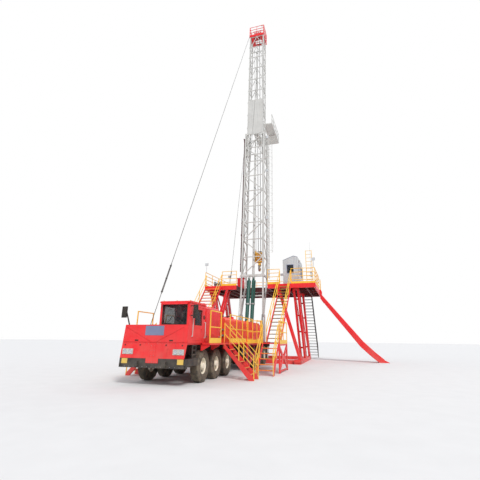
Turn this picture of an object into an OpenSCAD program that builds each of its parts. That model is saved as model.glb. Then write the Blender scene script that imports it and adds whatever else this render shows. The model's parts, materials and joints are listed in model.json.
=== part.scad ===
// Self-propelled workover rig, in millimetres. The origin is the well centre on the ground,
// the carrier's nose points along -Y, its left side is +X, and +Z is up.

/* [Carrier] */
// Overall width of the carrier
carrier_w = 2800; // [2700:20:2900]
// From the well centre forward to the first axle
first_axle = 15200; // [15100:20:15300]
// From the first axle forward to the nose
nose_reach = 1800; // [1700:20:1900]
// Spacing of the three front axles
front_pitch = 1500; // [1460:10:1540]
// From the first axle back to the first rear axle
rear_reach = 8200; // [8150:10:8400]
// Spacing of the three rear axles
rear_pitch = 1400; // [1380:10:1460]
// Height of the deck's top
deck_z = 1500; // [1480:10:1540]
// Outer face of each frame rail from the centre
rail_x = 475; // [460:5:490]
// Width of a frame rail's flange
rail_w = 90; // [70:5:100]
// Underside of the frame rails
rail_z = 860; // [840:10:880]

/* [Wheels] */
// Outside radius of the tyres
tyre_r = 625; // [600:5:640]
// Width of a front tyre
tyre_w = 390; // [360:5:400]
// Width of each rear twin tyre
twin_w = 315; // [300:5:320]
// Gap between the two tyres of a twin
twin_gap = 50; // [40:5:60]
// Bead radius of the rims
rim_r = 290; // [280:1:296]
// Centre of a front tyre from the centre of the carrier
track_x = 1180; // [1170:5:1200]
// Kingpin from the centre of the carrier
kingpin_x = 950; // [940:5:955]
// Kingpin radius
kingpin_r = 30; // [24:1:34]
// Spindle radius
spindle_r = 55; // [45:1:60]
// Radial running clearance at pins and spindles
run_gap = 0.5; // [0.3:0.1:0.8]

/* [Cab] */
// Right wall of the cab from the centre
cab_x = 150; // [130:10:200]
// Length of the cab
cab_l = 1600; // [1560:10:1640]
// Height of the cab's roof
cab_z = 3050; // [3000:10:3080]
// Thickness of the cab's walls and door
wall_t = 50; // [40:5:60]
// Length of the door
door_l = 900; // [850:10:950]
// Gap round the doors
door_gap = 8; // [6:1:10]
// Height of the hood beside the cab
hood_z = 2150; // [2100:10:2200]
// Right edge of the hood's top from the centre, where the nose tapers upward
hood_x = 1300; // [1180:10:1400]

/* [Mast] */
// Mast pivot forward of the well
pivot_y = 2600; // [2580:10:2650]
// Height of the mast pivot
pivot_z = 3400; // [3380:10:3450]
// Rearward lean of the erected mast, in degrees
mast_lean = 3.5; // [3.3:0.1:3.6]
// Outside width of the lower section
mast_w = 1950; // [1930:10:1970]
// Outside depth of the lower section
mast_d = 1500; // [1480:10:1520]
// Front face of the lower section ahead of the pivot line
mast_front = 200; // [190:5:210]
// Lowest beam of the lattice above the pivot
mast_foot = 3200; // [3150:10:3250]
// Top of the lower section above the pivot
mast_top = 17500; // [17400:50:17600]
// Chord of the lower section
chord = 120; // [110:5:125]
// Width of the lattice braces
brace = 70; // [60:5:80]
// Outside width of the upper section
upper_w = 1620; // [1600:10:1640]
// Outside depth of the upper section
upper_d = 1140; // [1120:10:1160]
// Bottom of the upper section above the pivot
upper_foot = 15100; // [15000:50:15200]
// Top of the upper section above the pivot
upper_top = 31300; // [31200:50:31400]

/* [Rig floor] */
// Height of the floor's deck
floor_z = 5830; // [5800:10:5860]
// Right edge of the floor from the well
floor_right = 4100; // [4050:10:4150]
// Left edge of the floor from the well
floor_left = 5070; // [5000:10:5100]
// Front edge of the floor ahead of the well
floor_front = 2700; // [2680:10:2720]
// Rear edge of the floor behind the well
floor_rear = 3600; // [3550:10:3650]
// Depth of the edge beams
edge_d = 340; // [300:10:360]
// Half width of the notch round the mast
notch_x = 1300; // [1250:10:1350]
// Depth of the notch from the front edge
notch_d = 1750; // [1700:10:1800]
// Radius of the rotary table's bore
rotary_r = 222.25; // [200:0.25:240]
// Height of the floor's railings
guard_h = 1200; // [1150:10:1250]

/* [Hidden] */
red = [0.78, 0.07, 0.06];
orange = [0.86, 0.22, 0.07];
yellow = [0.95, 0.75, 0.15];
white = [0.92, 0.92, 0.90];
dark = [0.08, 0.08, 0.09];
green = [0.03, 0.22, 0.16];
steel = [0.62, 0.64, 0.66];
half_w = carrier_w / 2;
nose_y = -first_axle - nose_reach;
cab_rear = nose_y + cab_l;
frame_rear = -2150;
deck_t = 60;
// Gap left between two pieces that are seated on each other
seat = 0.3;
frame_top = deck_z - deck_t - seat;
axle_z = tyre_r;
front_axles = [for (i = [0:2]) -first_axle + i * front_pitch];
rear_axles = [for (i = [0:2]) -first_axle + rear_reach + i * rear_pitch];
rail_t = 40;

// A flat outline in the Y-Z plane, extruded along +X from x0
module yz(x0, w) translate([x0, 0, 0]) rotate([90, 0, 90]) linear_extrude(w) children();
// A flat outline in the X-Z plane, extruded along +Y from y0
module xz(y0, w) translate([0, y0 + w, 0]) rotate([90, 0, 0]) linear_extrude(w) children();
// A box between two corners
module span(a, b) translate(a) cube(b - a);
// The four corners of a straight bar between two points of a plane
function bar(p, q, d) = let (a = atan2(q.y - p.y, q.x - p.x), n = [-sin(a), cos(a)] * d / 2)
    [p + n, p - n, q - n, q + n];
module both() { children(); mirror([1, 0, 0]) children(); }
// A cylinder along X, centred on x = 0
module shaft(r, l) rotate([0, 90, 0]) cylinder(r = r, h = l, center = true, $fn = 48);
// Railing outline: len along, rise over that length, bays between posts, bars one above another
module railing(len, rise, h, bays, bars, kick) {
    s = rise / len;
    pitch = (len - rail_t) / bays;
    difference() {
        polygon([[0, 0], [len, rise], [len, rise + h], [0, h]]);
        for (i = [0:bays - 1], j = [0:bars - 1]) {
            a = i * pitch + rail_t;
            b = (i + 1) * pitch;
            lo = j == 0 ? kick : h * j / bars;
            hi = h * (j + 1) / bars - rail_t;
            polygon([[a, a * s + lo], [b, b * s + lo], [b, b * s + hi], [a, a * s + hi]]);
        }
    }
}
// Straight flight seen from its side: runs along +Y and rises, its foot at the origin
module flight(run, rise, w, steps, board) {
    d = 190;
    for (x = [0, w - board]) yz(x, board)
        polygon([[0, 0], [d * 1.2, 0], [run, rise - d], [run, rise], [0, d * 0.5]]);
    for (i = [1:steps - 1]) translate([board, run * i / steps - 60, rise * i / steps - 40])
        cube([w - 2 * board, 220, 40]);
}
module flight_rails(run, rise, w, h, bays) for (x = [0, w - rail_t]) yz(x, rail_t)
    railing(run, rise, h, bays, 2, -1);

// Profile of the frame rail: a channel that opens inward
module chassis_frame() color(dark) {
    both() difference() {
        span([rail_x - rail_w, nose_y + 150, rail_z], [rail_x, frame_rear, frame_top]);
        span([rail_x - rail_w - 1, nose_y + 149, rail_z + 18],
            [rail_x - 14, frame_rear + 1, frame_top - 18]);
    }
    // cross members, behind the wheels and clear of the raising cylinders
    web = rail_x - 14 - seat;
    for (y = [nose_y + 350, -14450, -12950, -11450, -10200, -8900, -7700, -6300])
        span([-web, y, rail_z + 60], [web, y + 90, frame_top - 60]);
    span([-web, frame_rear - 160, rail_z + 60], [web, frame_rear - 20, frame_top - 18 - seat]);
    // outriggers that carry the deck
    for (y = [-15350, -13700, -12200, -10900, -9700, -8400, -7150, -5950, -4500, -3300])
        both() yz(rail_x, half_w - 40 - rail_x) polygon([[y, frame_top - 110], [y + 80, frame_top - 110],
            [y + 80, frame_top], [y, frame_top]]);
    // beams that carry the jacks
    both() for (y = jack_y) span([rail_x - 1, y - 110, frame_top - 260], [half_w - 60, y + 110, frame_top]);
    // ears for the feet of the raising cylinders
    both() for (x = [ram_x - ram_eye_w / 2 - 25 - 12, ram_x + ram_eye_w / 2 + 12]) yz(x, 25)
        polygon([[ram_y - 130, rail_z + 59], [ram_y + 130, rail_z + 59], [ram_y + 90, ram_z + 60],
            [ram_y - 90, ram_z + 60]]);
    span([-web, ram_y - 130, rail_z + 18 + seat], [web, ram_y + 130, rail_z + 60]);
}
ram_x = 200;
ram_y = -3800;
ram_z = 1100;
ram_eye_w = 80;
ram_pin_r = 50;
ram_mast = [0, -350, 2900];

// Springs under the rails, beams between the kingpins, and the twin axles' housings
module leaf_pack(y) both() yz(rail_x - rail_w, rail_w) polygon([[y - 620, rail_z],
    [y - 560, rail_z - 50], [y - 130, axle_z + 75], [y + 130, axle_z + 75], [y + 560, rail_z - 50],
    [y + 620, rail_z], [y + 500, rail_z], [y + 130, axle_z + 140], [y - 130, axle_z + 140],
    [y - 500, rail_z]]);
module axle_beams() color(dark) {
    for (y = front_axles) {
        leaf_pack(y);
        translate([0, y, axle_z]) {
            cube([2 * (kingpin_x - 50), 130, 150], center = true);
            rotate([0, 90, 0]) cylinder(r = 170, h = 260, center = true, $fn = 40);
            both() translate([kingpin_x, 0, 0]) difference() {
                cylinder(r = 62, h = 150, center = true, $fn = 40);
                cylinder(r = kingpin_r + run_gap, h = 160, center = true, $fn = 40);
            }
        }
    }
    for (y = rear_axles) {
        leaf_pack(y);
        translate([0, y, axle_z]) {
            shaft(105, 2 * 640);
            shaft(spindle_r, 2 * (half_w - 20 - twin_w / 2 + 30));
            shaft(215, 300);
        }
    }
}
module knuckle(x, y) color(steel) translate([x, y, axle_z]) mirror([x < 0 ? 1 : 0, 0, 0]) {
    cylinder(r = kingpin_r, h = 250, center = true, $fn = 40);
    for (z = [-125, 85]) span([-45, -55, z], [95, 55, z + 40]);
    span([75, -70, -125], [95, 70, 125]);
    translate([90, 0, 0]) rotate([0, 90, 0]) cylinder(r = spindle_r, h = 230, $fn = 48);
    // track-rod arm
    span([-30, -230, -125], [30, -50, -100]);
}
// Tyre section: bead, bulged wall, shoulder and crown
function tyre_side(w, s) = [[rim_r - 6, s * (w / 2 - 70)], [rim_r + 45, s * (w / 2 - 12)],
    [(rim_r + tyre_r) / 2, s * w / 2], [tyre_r - 75, s * (w / 2 - 22)], [tyre_r, s * (w / 2 - 60)]];
function tyre_ring(w) = concat(tyre_side(w, 1), [for (i = [4:-1:0]) tyre_side(w, -1)[i]]);
module tyre(w, c) translate([c, 0, 0]) rotate([0, 90, 0]) rotate_extrude($fn = 48) polygon(tyre_ring(w));
// Rim: a barrel that holds the bead, a dished disc and the hub round the spindle
module front_wheel(x, y) color(dark) translate([x, y, axle_z]) mirror([x < 0 ? 1 : 0, 0, 0]) {
    tyre(tyre_w, 0);
    rotate([0, 90, 0]) rotate_extrude($fn = 48) polygon([[rim_r, -tyre_w / 2 + 60],
        [rim_r, tyre_w / 2 - 62], [rim_r - 22, tyre_w / 2 - 62], [rim_r - 30, 60], [170, 20], [110, 20],
        [110, 115], [spindle_r + run_gap, 115], [spindle_r + run_gap, -60], [105, -60], [110, 0],
        [170, 0], [rim_r - 30, 30], [rim_r - 22, -tyre_w / 2 + 60]]);
}
module twin_wheel(x, y) color(dark) translate([0, y, axle_z]) mirror([x < 0 ? 1 : 0, 0, 0]) {
    o = half_w - 20 - twin_w / 2;
    i = o - twin_w - twin_gap;
    tyre(twin_w, o);
    tyre(twin_w, i);
    translate([o, 0, 0]) rotate([0, 90, 0]) rotate_extrude($fn = 48) polygon([
        [rim_r, i - o - twin_w / 2 + 60], [rim_r, twin_w / 2 - 60], [rim_r - 22, twin_w / 2 - 60],
        [rim_r - 30, -130], [110, -150], [110, 60], [0, 60], [0, 40], [spindle_r + run_gap, 40],
        [spindle_r + run_gap, i - o - 80], [100, i - o - 80], [110, -180], [rim_r - 30, -160],
        [rim_r - 22, i - o - twin_w / 2 + 60]]);
}

bumper_z = [620, 950];
module front_bumper() color(dark) {
    span([-half_w, nose_y, bumper_z[0]], [half_w, nose_y + 150 - seat, bumper_z[1]]);
    // beams back to the first wheels, and the rungs up to the cab
    both() span([half_w - 190, nose_y + 150, 690], [half_w, -first_axle - 750, bumper_z[1]]);
    yz(half_w - 60, 40) translate([nose_y + 560, bumper_z[1] + seat]) railing(360, 0, 480, 1, 3, 30);
    // tow eyes on the bumper's face
    both() difference() {
        yz(560, 60) polygon([[nose_y - 110, 700], [nose_y - 110, 800], [nose_y - 60, 850],
            [nose_y - seat, 850], [nose_y - seat, 650], [nose_y - 60, 650]]);
        translate([590, nose_y - 60, 750]) shaft(tow_r, 100);
    }
}
tow_r = 30;
// Nose: front plate with its seam and creases, side plates and the low hood beside the cab
seam_z = 1520;
module nose_panel() color(red) {
    t = wall_t - 10;
    difference() {
        xz(nose_y + seat, t) difference() {
            polygon([[-half_w, bumper_z[1]], [corner_x, bumper_z[1]], [half_w, deck_z],
                [half_w, hood_z], [-hood_x, hood_z]]);
            both() translate([lamp_x[0], lamp_z[0]]) square([lamp_x[1] - lamp_x[0], lamp_z[1] - lamp_z[0]]);
        }
        span([-half_w - 1, nose_y - 1, seam_z - 8], [half_w + 1, nose_y + 8, seam_z + 8]);
        for (s = [-1, 1]) xz(nose_y - 1, 8)
            polygon(bar([s * (hood_x - 60), hood_z - 90], [s * 120, seam_z + 10], 14));
    }
    // tongue over the middle of the bumper
    span([-tongue_x, nose_y - 12, tongue_z[0]], [tongue_x, nose_y - seat, tongue_z[1]]);
    span([-tongue_x, nose_y - 12, bumper_z[1] + seat], [tongue_x, nose_y + 1, tongue_z[1]]);
    // right side plate down to the wheel, on the taper
    xz(nose_y + t, 580) polygon([[-half_w, bumper_z[1]], [-half_w + t, bumper_z[1]],
        [-nose_edge(deck_z - 20) + t, deck_z - 20], [-nose_edge(deck_z - 20), deck_z - 20]]);
    // hood beside the cab
    difference() {
        xz(nose_y + t, cab_l - 60 - t) polygon([[-nose_edge(deck_z + seat), deck_z + seat],
            [cab_x - 10, deck_z + seat], [cab_x - 10, hood_z], [-hood_x, hood_z]]);
        xz(nose_y + t - 1, cab_l - 60 - 2 * t + 1) polygon([[-nose_edge(deck_z) + t, deck_z - 1],
            [cab_x - 10 - t, deck_z - 1], [cab_x - 10 - t, hood_z - t], [-hood_x + t, hood_z - t]]);
    }
    // pad for the mast's stay
    span([stay_foot.x - 30, stay_foot.y - 30, hood_z - 1], [stay_foot.x + 30, stay_foot.y + 30, hood_z + 30]);
}
// Half width of the tapered nose at height z
function nose_edge(z) = half_w - (half_w - hood_x) * (z - bumper_z[1]) / (hood_z - bumper_z[1]);
stay_foot = [-750, nose_y + 900];
corner_x = 1310;
tongue_x = 260;
tongue_z = [790, 1010];
// Lamp clusters in the nose, two round lamps each, and the turn lamps on the bumper
lamp_x = [850, 1300];
lamp_z = [1090, 1280];
lens_r = 80;
module lamps() {
    color(white) both() {
        span([lamp_x[0] + seat, nose_y - 12, lamp_z[0] + seat],
            [lamp_x[1] - seat, nose_y + 48, lamp_z[1] - seat]);
        for (x = [lamp_x[0] + 115, lamp_x[1] - 115]) translate([x, nose_y - 24, (lamp_z[0] + lamp_z[1]) / 2])
            rotate([-90, 0, 0]) cylinder(r = lens_r, h = 13, $fn = 40);
    }
    color(yellow) both() span([1050, nose_y - 12, 760], [lamp_x[1], nose_y - seat, 940]);
}
// Hinge barrels on a door's front edge: the outer two on the frame, the middle one on the door
hinge_r = 14;
module hinge(x, y, z, on_door) for (zz = z) translate([x + hinge_r + seat, y, zz]) {
    for (k = on_door ? [0] : [-1, 1]) translate([0, 0, k * (80 + seat) - 40]) {
        cylinder(r = hinge_r, h = 80, $fn = 32);
        span([-hinge_r - seat - 1, on_door ? door_gap / 2 : -45, 0], [0, on_door ? 45 : -door_gap / 2, 80]);
    }
}
// Cab: walls as thick as a whole panel, windows cut, roof apart
door_y = [cab_rear - door_l - 230, cab_rear - 230];
door_z = [deck_z + 80, cab_z - 190];
glass_z = [2180, 2930];
roof_t = 70;
module cab_body() color(red) {
    hinge(half_w, door_y[0] + door_gap / 2, [door_z[0] + 250, door_z[1] - 250], false);
    difference() {
    span([cab_x, nose_y + wall_t, deck_z], [half_w, cab_rear, cab_z - roof_t]);
    span([cab_x + wall_t, nose_y + 2 * wall_t, deck_z + wall_t],
        [half_w - wall_t, cab_rear - wall_t, cab_z]);
    // windscreen, right window, rear window and door opening
    span([cab_x + 110, nose_y, glass_z[0]], [half_w - 110, nose_y + 3 * wall_t, glass_z[1]]);
    span([cab_x - 1, nose_y + 320, glass_z[0] + 60], [cab_x + wall_t + 1, cab_rear - 300, glass_z[1] - 40]);
    span([cab_x + 250, cab_rear - wall_t - 1, glass_z[0] + 100],
        [half_w - 250, cab_rear + 1, glass_z[1] - 60]);
    span([half_w - wall_t - 1, door_y[0], door_z[0]], [half_w + 1, door_y[1], door_z[1]]);
    }
}
module cab_roof() color(red) {
    difference() {
        span([cab_x - 20, nose_y + 10, cab_z - roof_t + seat], [half_w + 20, cab_rear + 20, cab_z]);
        yz(cab_x - 21, half_w - cab_x + 42)
            polygon([[nose_y, cab_z - 35], [nose_y + 90, cab_z + 1], [nose_y, cab_z + 1]]);
    }
    // sun visor
    yz(cab_x + 60, half_w - cab_x - 120) polygon([[nose_y - 90, cab_z - 150],
        [nose_y - 70, cab_z - 130], [nose_y + 40, cab_z - 40], [nose_y + 40, cab_z - roof_t + seat],
        [nose_y + 11, cab_z - roof_t + seat]]);
}
module cab_glass() color([0.1, 0.14, 0.16, 0.6]) {
    g = 6;
    span([cab_x + 110 + seat, nose_y + wall_t + 20, glass_z[0] + seat],
        [half_w - 110 - seat, nose_y + wall_t + 20 + g, glass_z[1] - seat]);
    span([cab_x + 20, nose_y + 320 + seat, glass_z[0] + 60 + seat],
        [cab_x + 20 + g, cab_rear - 300 - seat, glass_z[1] - 40 - seat]);
    span([cab_x + 250 + seat, cab_rear - 30, glass_z[0] + 100 + seat],
        [half_w - 250 - seat, cab_rear - 30 + g, glass_z[1] - 60 - seat]);
}
module cab_door() color(red) {
    hinge(half_w, door_y[0] + door_gap / 2, [door_z[0] + 250, door_z[1] - 250], true);
    difference() {
    span([half_w - wall_t, door_y[0] + door_gap, door_z[0] + door_gap],
        [half_w, door_y[1] - door_gap, door_z[1] - door_gap]);
    span([half_w - wall_t - 1, door_y[0] + 120, glass_z[0]], [half_w + 1, door_y[1] - 120, door_z[1] - 100]);
    span([half_w - 12, door_y[1] - 150, 1980], [half_w + 1, door_y[1] - 60, 2030]);
    }
}
module cab_seat() color(dark) {
    x = (cab_x + half_w) / 2;
    y = cab_rear - 620;
    span([x - 160, y - 180, deck_z + wall_t + seat], [x + 160, y + 180, deck_z + 420]);
    yz(x - 240, 480) polygon([[y - 270, deck_z + 420], [y + 260, deck_z + 420], [y + 400, deck_z + 1060],
        [y + 300, deck_z + 1080], [y + 150, deck_z + 560], [y - 250, deck_z + 570]]);
}
module steering_wheel() color(dark) {
    x = (cab_x + half_w) / 2;
    y = nose_y + 540;
    // dash shelf that carries the column
    yz(cab_x + wall_t + seat, half_w - cab_x - 2 * wall_t - 2 * seat)
        polygon([[nose_y + 2 * wall_t + seat, 1900], [nose_y + 420, 1900], [nose_y + 380, 2120],
            [nose_y + 2 * wall_t + seat, 2150]]);
    translate([x, y, 2260]) rotate([-50, 0, 0]) {
        rotate_extrude($fn = 48) translate([215, 0]) circle(r = 16, $fn = 16);
        cylinder(r = 45, h = 40, center = true, $fn = 32);
        for (a = [0, 120, 240]) rotate([0, 0, a]) span([30, -15, -8], [212, 15, 8]);
        translate([0, 0, -260]) cylinder(r = 30, h = 260, $fn = 32);
    }
}
module mirrors() color(dark) {
    // right one on an arm at the hood's corner, left one ahead of the door
    span([-hood_x + 10, nose_y + 130, hood_z + seat], [-hood_x + 90, nose_y + 190, hood_z + 14]);
    xz(nose_y + 140, 40) polygon(bar([-hood_x + 50, hood_z + 12], [-half_w - 130, 2870], 36));
    span([-half_w - 250, nose_y + 120, 2440], [-half_w - 30, nose_y + 180, 2880]);
    xz(nose_y + 150, 40) polygon(bar([half_w, 2500], [half_w + 150, 2500], 36));
    xz(nose_y + 150, 40) polygon(bar([half_w, 2860], [half_w + 150, 2860], 36));
    span([half_w + 110, nose_y + 135, 2400], [half_w + 290, nose_y + 195, 2900]);
}
// Housing of the engine: a tall box behind the cab, a low one beside it, and the rest for the mast
house_y = [cab_rear + 110, cab_rear + 1850];
house_z = [deck_z + seat, 3000];
house_x = -100;
rest_z = pivot_z - mast_front - 15;
module engine_housing() color(red) {
    difference() {
        union() {
            span([house_x, house_y[0], house_z[0]], [half_w - 10, house_y[1], house_z[1]]);
            span([-half_w + 10, house_y[0], house_z[0]], [house_x + 1, house_y[1], hood_z + 50]);
        }
        // chamfered shoulder and the louvre slots in both sides
        xz(house_y[0] - 1, house_y[1] - house_y[0] + 2) polygon([[half_w - 130, house_z[1] + 1],
            [half_w, house_z[1] - 130], [half_w, house_z[1] + 1]]);
        for (s = [-1, 1], i = [0:7]) translate([s * (half_w - 10), (house_y[0] + house_y[1]) / 2,
            deck_z + 350 + i * 130]) cube([60, 1300, 60], center = true);
    }
    xz(house_y[0] + 700, 120) polygon([[house_x + 40, house_z[1] - 1], [half_w - 300, house_z[1] - 1],
        [half_w - 420, rest_z], [-500, rest_z], [-500, rest_z - 80]]);
}
module exhaust_stacks() color(dark) for (y = [house_y[1] + 180, house_y[1] + 520]) translate([900, y, 0]) {
    translate([0, 0, deck_z + seat]) cylinder(r = 60, h = 1450, $fn = 40);
    translate([0, 0, deck_z + 500]) cylinder(r = 120, h = 700, $fn = 40);
}
case_y = [-12600, -8700];
case_top = 2700;
module gearbox_case() color(orange) difference() {
    span([-1300, case_y[0], deck_z + seat], [1300, case_y[1], case_top]);
    both() xz(case_y[0] - 1, case_y[1] - case_y[0] + 2)
        polygon([[1180, case_top + 1], [1301, case_top - 120], [1301, case_top + 1]]);
    // panels sunk into both sides
    both() for (i = [0:3]) span([1290, case_y[0] + 120 + i * 935, 1620],
        [1301, case_y[0] + 975 + i * 935, case_top - 220]);
}
guard_y = [-8400, -5200];
drum_y = -6900;
drum_z = 2120;
drum_r = 300;
module drawworks_guard() color(orange) {
    // side plates with the drum's bearings, and a hood over the drum
    for (s = [-1, 1]) difference() {
        yz(s * 1250 - 30, 60) polygon([[guard_y[0], deck_z + seat], [guard_y[1], deck_z + seat],
            [guard_y[1], case_top - 280], [guard_y[1] - 260, case_top], [guard_y[0], case_top]]);
        translate([s * 1250, drum_y, drum_z]) shaft(60 + run_gap, 80);
    }
    span([-1221, guard_y[0], case_top - 40], [1221, guard_y[1] - 300, case_top]);
    span([-1221, guard_y[0], deck_z + seat], [1221, guard_y[0] + 60, case_top - 39]);
}
module drawworks_drum() color(steel) translate([0, drum_y, drum_z]) {
    shaft(60, 2 * 1275);
    shaft(drum_r, 2 * 560);
    for (s = [-1, 1]) translate([s * 580, 0, 0]) shaft(drum_r + 210, 40);
    for (s = [-1, 1]) translate([s * 780, 0, 0]) shaft(drum_r + 130, 200);
}
// Deck of four plates round the slot for the raising cylinders, and the side walkways
walk_x = 1750;
walk_y = [-15620, -6750];
slot_y = [-5700, -2900];
bracket_y = [-15580, -14450, -12950, -11850, -10050, -7500];
module deck_plates() color(red) {
    difference() {
        span([-half_w, cab_rear + 30, deck_z - deck_t], [half_w, frame_rear - 300, deck_z]);
        span([-420, slot_y[0], deck_z - deck_t - 1], [420, slot_y[1], deck_z + 1]);
        for (y = slot_y) translate([-half_w - 1, y - seat / 2, deck_z - deck_t - 1])
            cube([carrier_w + 2, seat, deck_t + 2]);
    }
    span([cab_x, nose_y + 60, deck_z - deck_t], [half_w - wall_t, cab_rear + 31, deck_z - seat]);
    both() span([half_w, walk_y[0], deck_z - deck_t], [walk_x, walk_y[1], deck_z]);
    // brackets under the walkways
    both() for (y = bracket_y) xz(y, 50) polygon([[half_w - 60, deck_z - deck_t - 230],
        [half_w, deck_z - deck_t - 230], [walk_x - 40, deck_z - deck_t - 60],
        [walk_x - 40, deck_z - deck_t + 1], [half_w - 60, deck_z - deck_t + 1]]);
}
stair_y = -13950;
stair_w = 800;
stair_run = 1400;
rail_y = -13100;
walk_h = 1300;
module carrier_rails() color(yellow) translate([0, 0, deck_z + seat]) {
    // guards beside the housing, ahead of the stairs
    both() yz(walk_x - rail_t, rail_t) translate([walk_y[0], 0]) railing(1320, 0, walk_h, 1, 2, 200);
    // outer side of the walkways, the left one open where the landing joins it
    yz(walk_x - rail_t, rail_t) {
        translate([rail_y, 0]) railing(land_y[1] - 950 - rail_y, 0, walk_h, 4, 2, 200);
        translate([land_y[1], 0]) railing(walk_y[1] - land_y[1], 0, walk_h, 1, 2, 200);
    }
    mirror([1, 0, 0]) yz(walk_x - rail_t, rail_t) translate([rail_y, 0])
        railing(walk_y[1] - rail_y, 0, walk_h, 6, 2, 200);
    // rear ends
    both() xz(walk_y[1] - rail_t, rail_t) translate([half_w + 30, 0])
        railing(walk_x - half_w - 30 - rail_t - seat, 0, walk_h, 1, 2, 200);
}
// Steep flights down from the deck's sides, ahead of the walkways
module carrier_stairs() both() translate([walk_x + seat + stair_run, stair_y, 0]) rotate([0, 0, 90]) {
    color(red) flight(stair_run, deck_z - 20, stair_w, 6, 40);
    color(yellow) translate([0, 0, 94]) flight_rails(stair_run, deck_z - 120, stair_w, 900, 2);
}
// Fuel tanks and battery boxes hung on the outside of the frame rails, under the walkways
tank_r = 250;
module side_tanks() color(dark) both() {
    translate([880, -11350, 940]) rotate([-90, 0, 0]) cylinder(r = tank_r, h = 1450, $fn = 48);
    for (y = [-11150, -10200]) span([rail_x + seat, y, rail_z + 20], [880, y + 60, 1100]);
    span([rail_x + seat, -9780, 760], [half_w - 70, -8900, 1190]);
}
pad_z = 250;
jack_y = [-8020, -2480];
module jack_legs() color(white) both() {
    // rear jacks stand on the base beam, the middle ones on the ground
    for (j = [[jack_y[0], 0], [jack_y[1], pad_z]]) translate([1180, j[0], 0]) {
        translate([0, 0, j[1] + seat * (j[1] > 0 ? 1 : 0)]) cylinder(r = 190, h = 50, $fn = 40);
        translate([0, 0, j[1] + 40]) cylinder(r = 60, h = 700, $fn = 40);
        translate([0, 0, j[1] + 450]) cylinder(r = 95, h = frame_top - 260 - j[1] - 450 - seat, $fn = 40);
    }
}
// Stand for the mast's feet at the rear of the frame
foot_x = mast_w / 2 - chord / 2;
foot_pin_r = 60;
module mast_base() color(white) {
    both() for (x = [foot_x - 60 - 50 - 6, foot_x + 60 + 6]) difference() {
        yz(x, 50) polygon([[-pivot_y - 750, deck_z + seat], [-pivot_y + 150, deck_z + seat],
            [-pivot_y + 150, pivot_z - 60], [-pivot_y + 90, pivot_z + 110], [-pivot_y - 90, pivot_z + 110],
            [-pivot_y - 220, pivot_z - 200]]);
        translate([0, -pivot_y, pivot_z]) shaft(foot_pin_r, 4000);
    }
    both() span([foot_x - 116, -pivot_y - 750, deck_z + seat], [foot_x + 116, -pivot_y + 150, deck_z + 60]);
    both() translate([foot_x, -pivot_y, pivot_z]) shaft(foot_pin_r, 232);
    span([-foot_x + 60, -pivot_y - 60, 2500], [foot_x - 60, -pivot_y + 140, 2700]);
}
// One lattice wall, flat in X-Z: bays of a single brace that alternates, from z0 to z1
module lattice_wall(w, z0, z1, bays, c, b, kind) difference() {
    translate([-w / 2, z0]) square([w, z1 - z0]);
    p = (z1 - z0 - b) / bays;
    for (i = [0:bays - 1]) translate([0, z0 + i * p]) {
        l = -w / 2 + c;
        r = w / 2 - c;
        s = (kind == "single" && i % 2 == 1) ? -1 : 1;
        k = b * 0.75;
        if (kind == "single") {
            polygon([[s * l, b + k], [s * l, p], [s * (r - k), p]]);
            polygon([[s * (l + k), b], [s * r, b], [s * r, p - k]]);
        } else {
            polygon([[l, b + k], [l, p], [-k, p]]);
            polygon([[r, b + k], [r, p], [k, p]]);
            polygon([[l + k, b], [r - k, b], [0, p - k / 2]]);
        }
    }
}
// Edge strips of the front walls
stile = 30;
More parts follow.
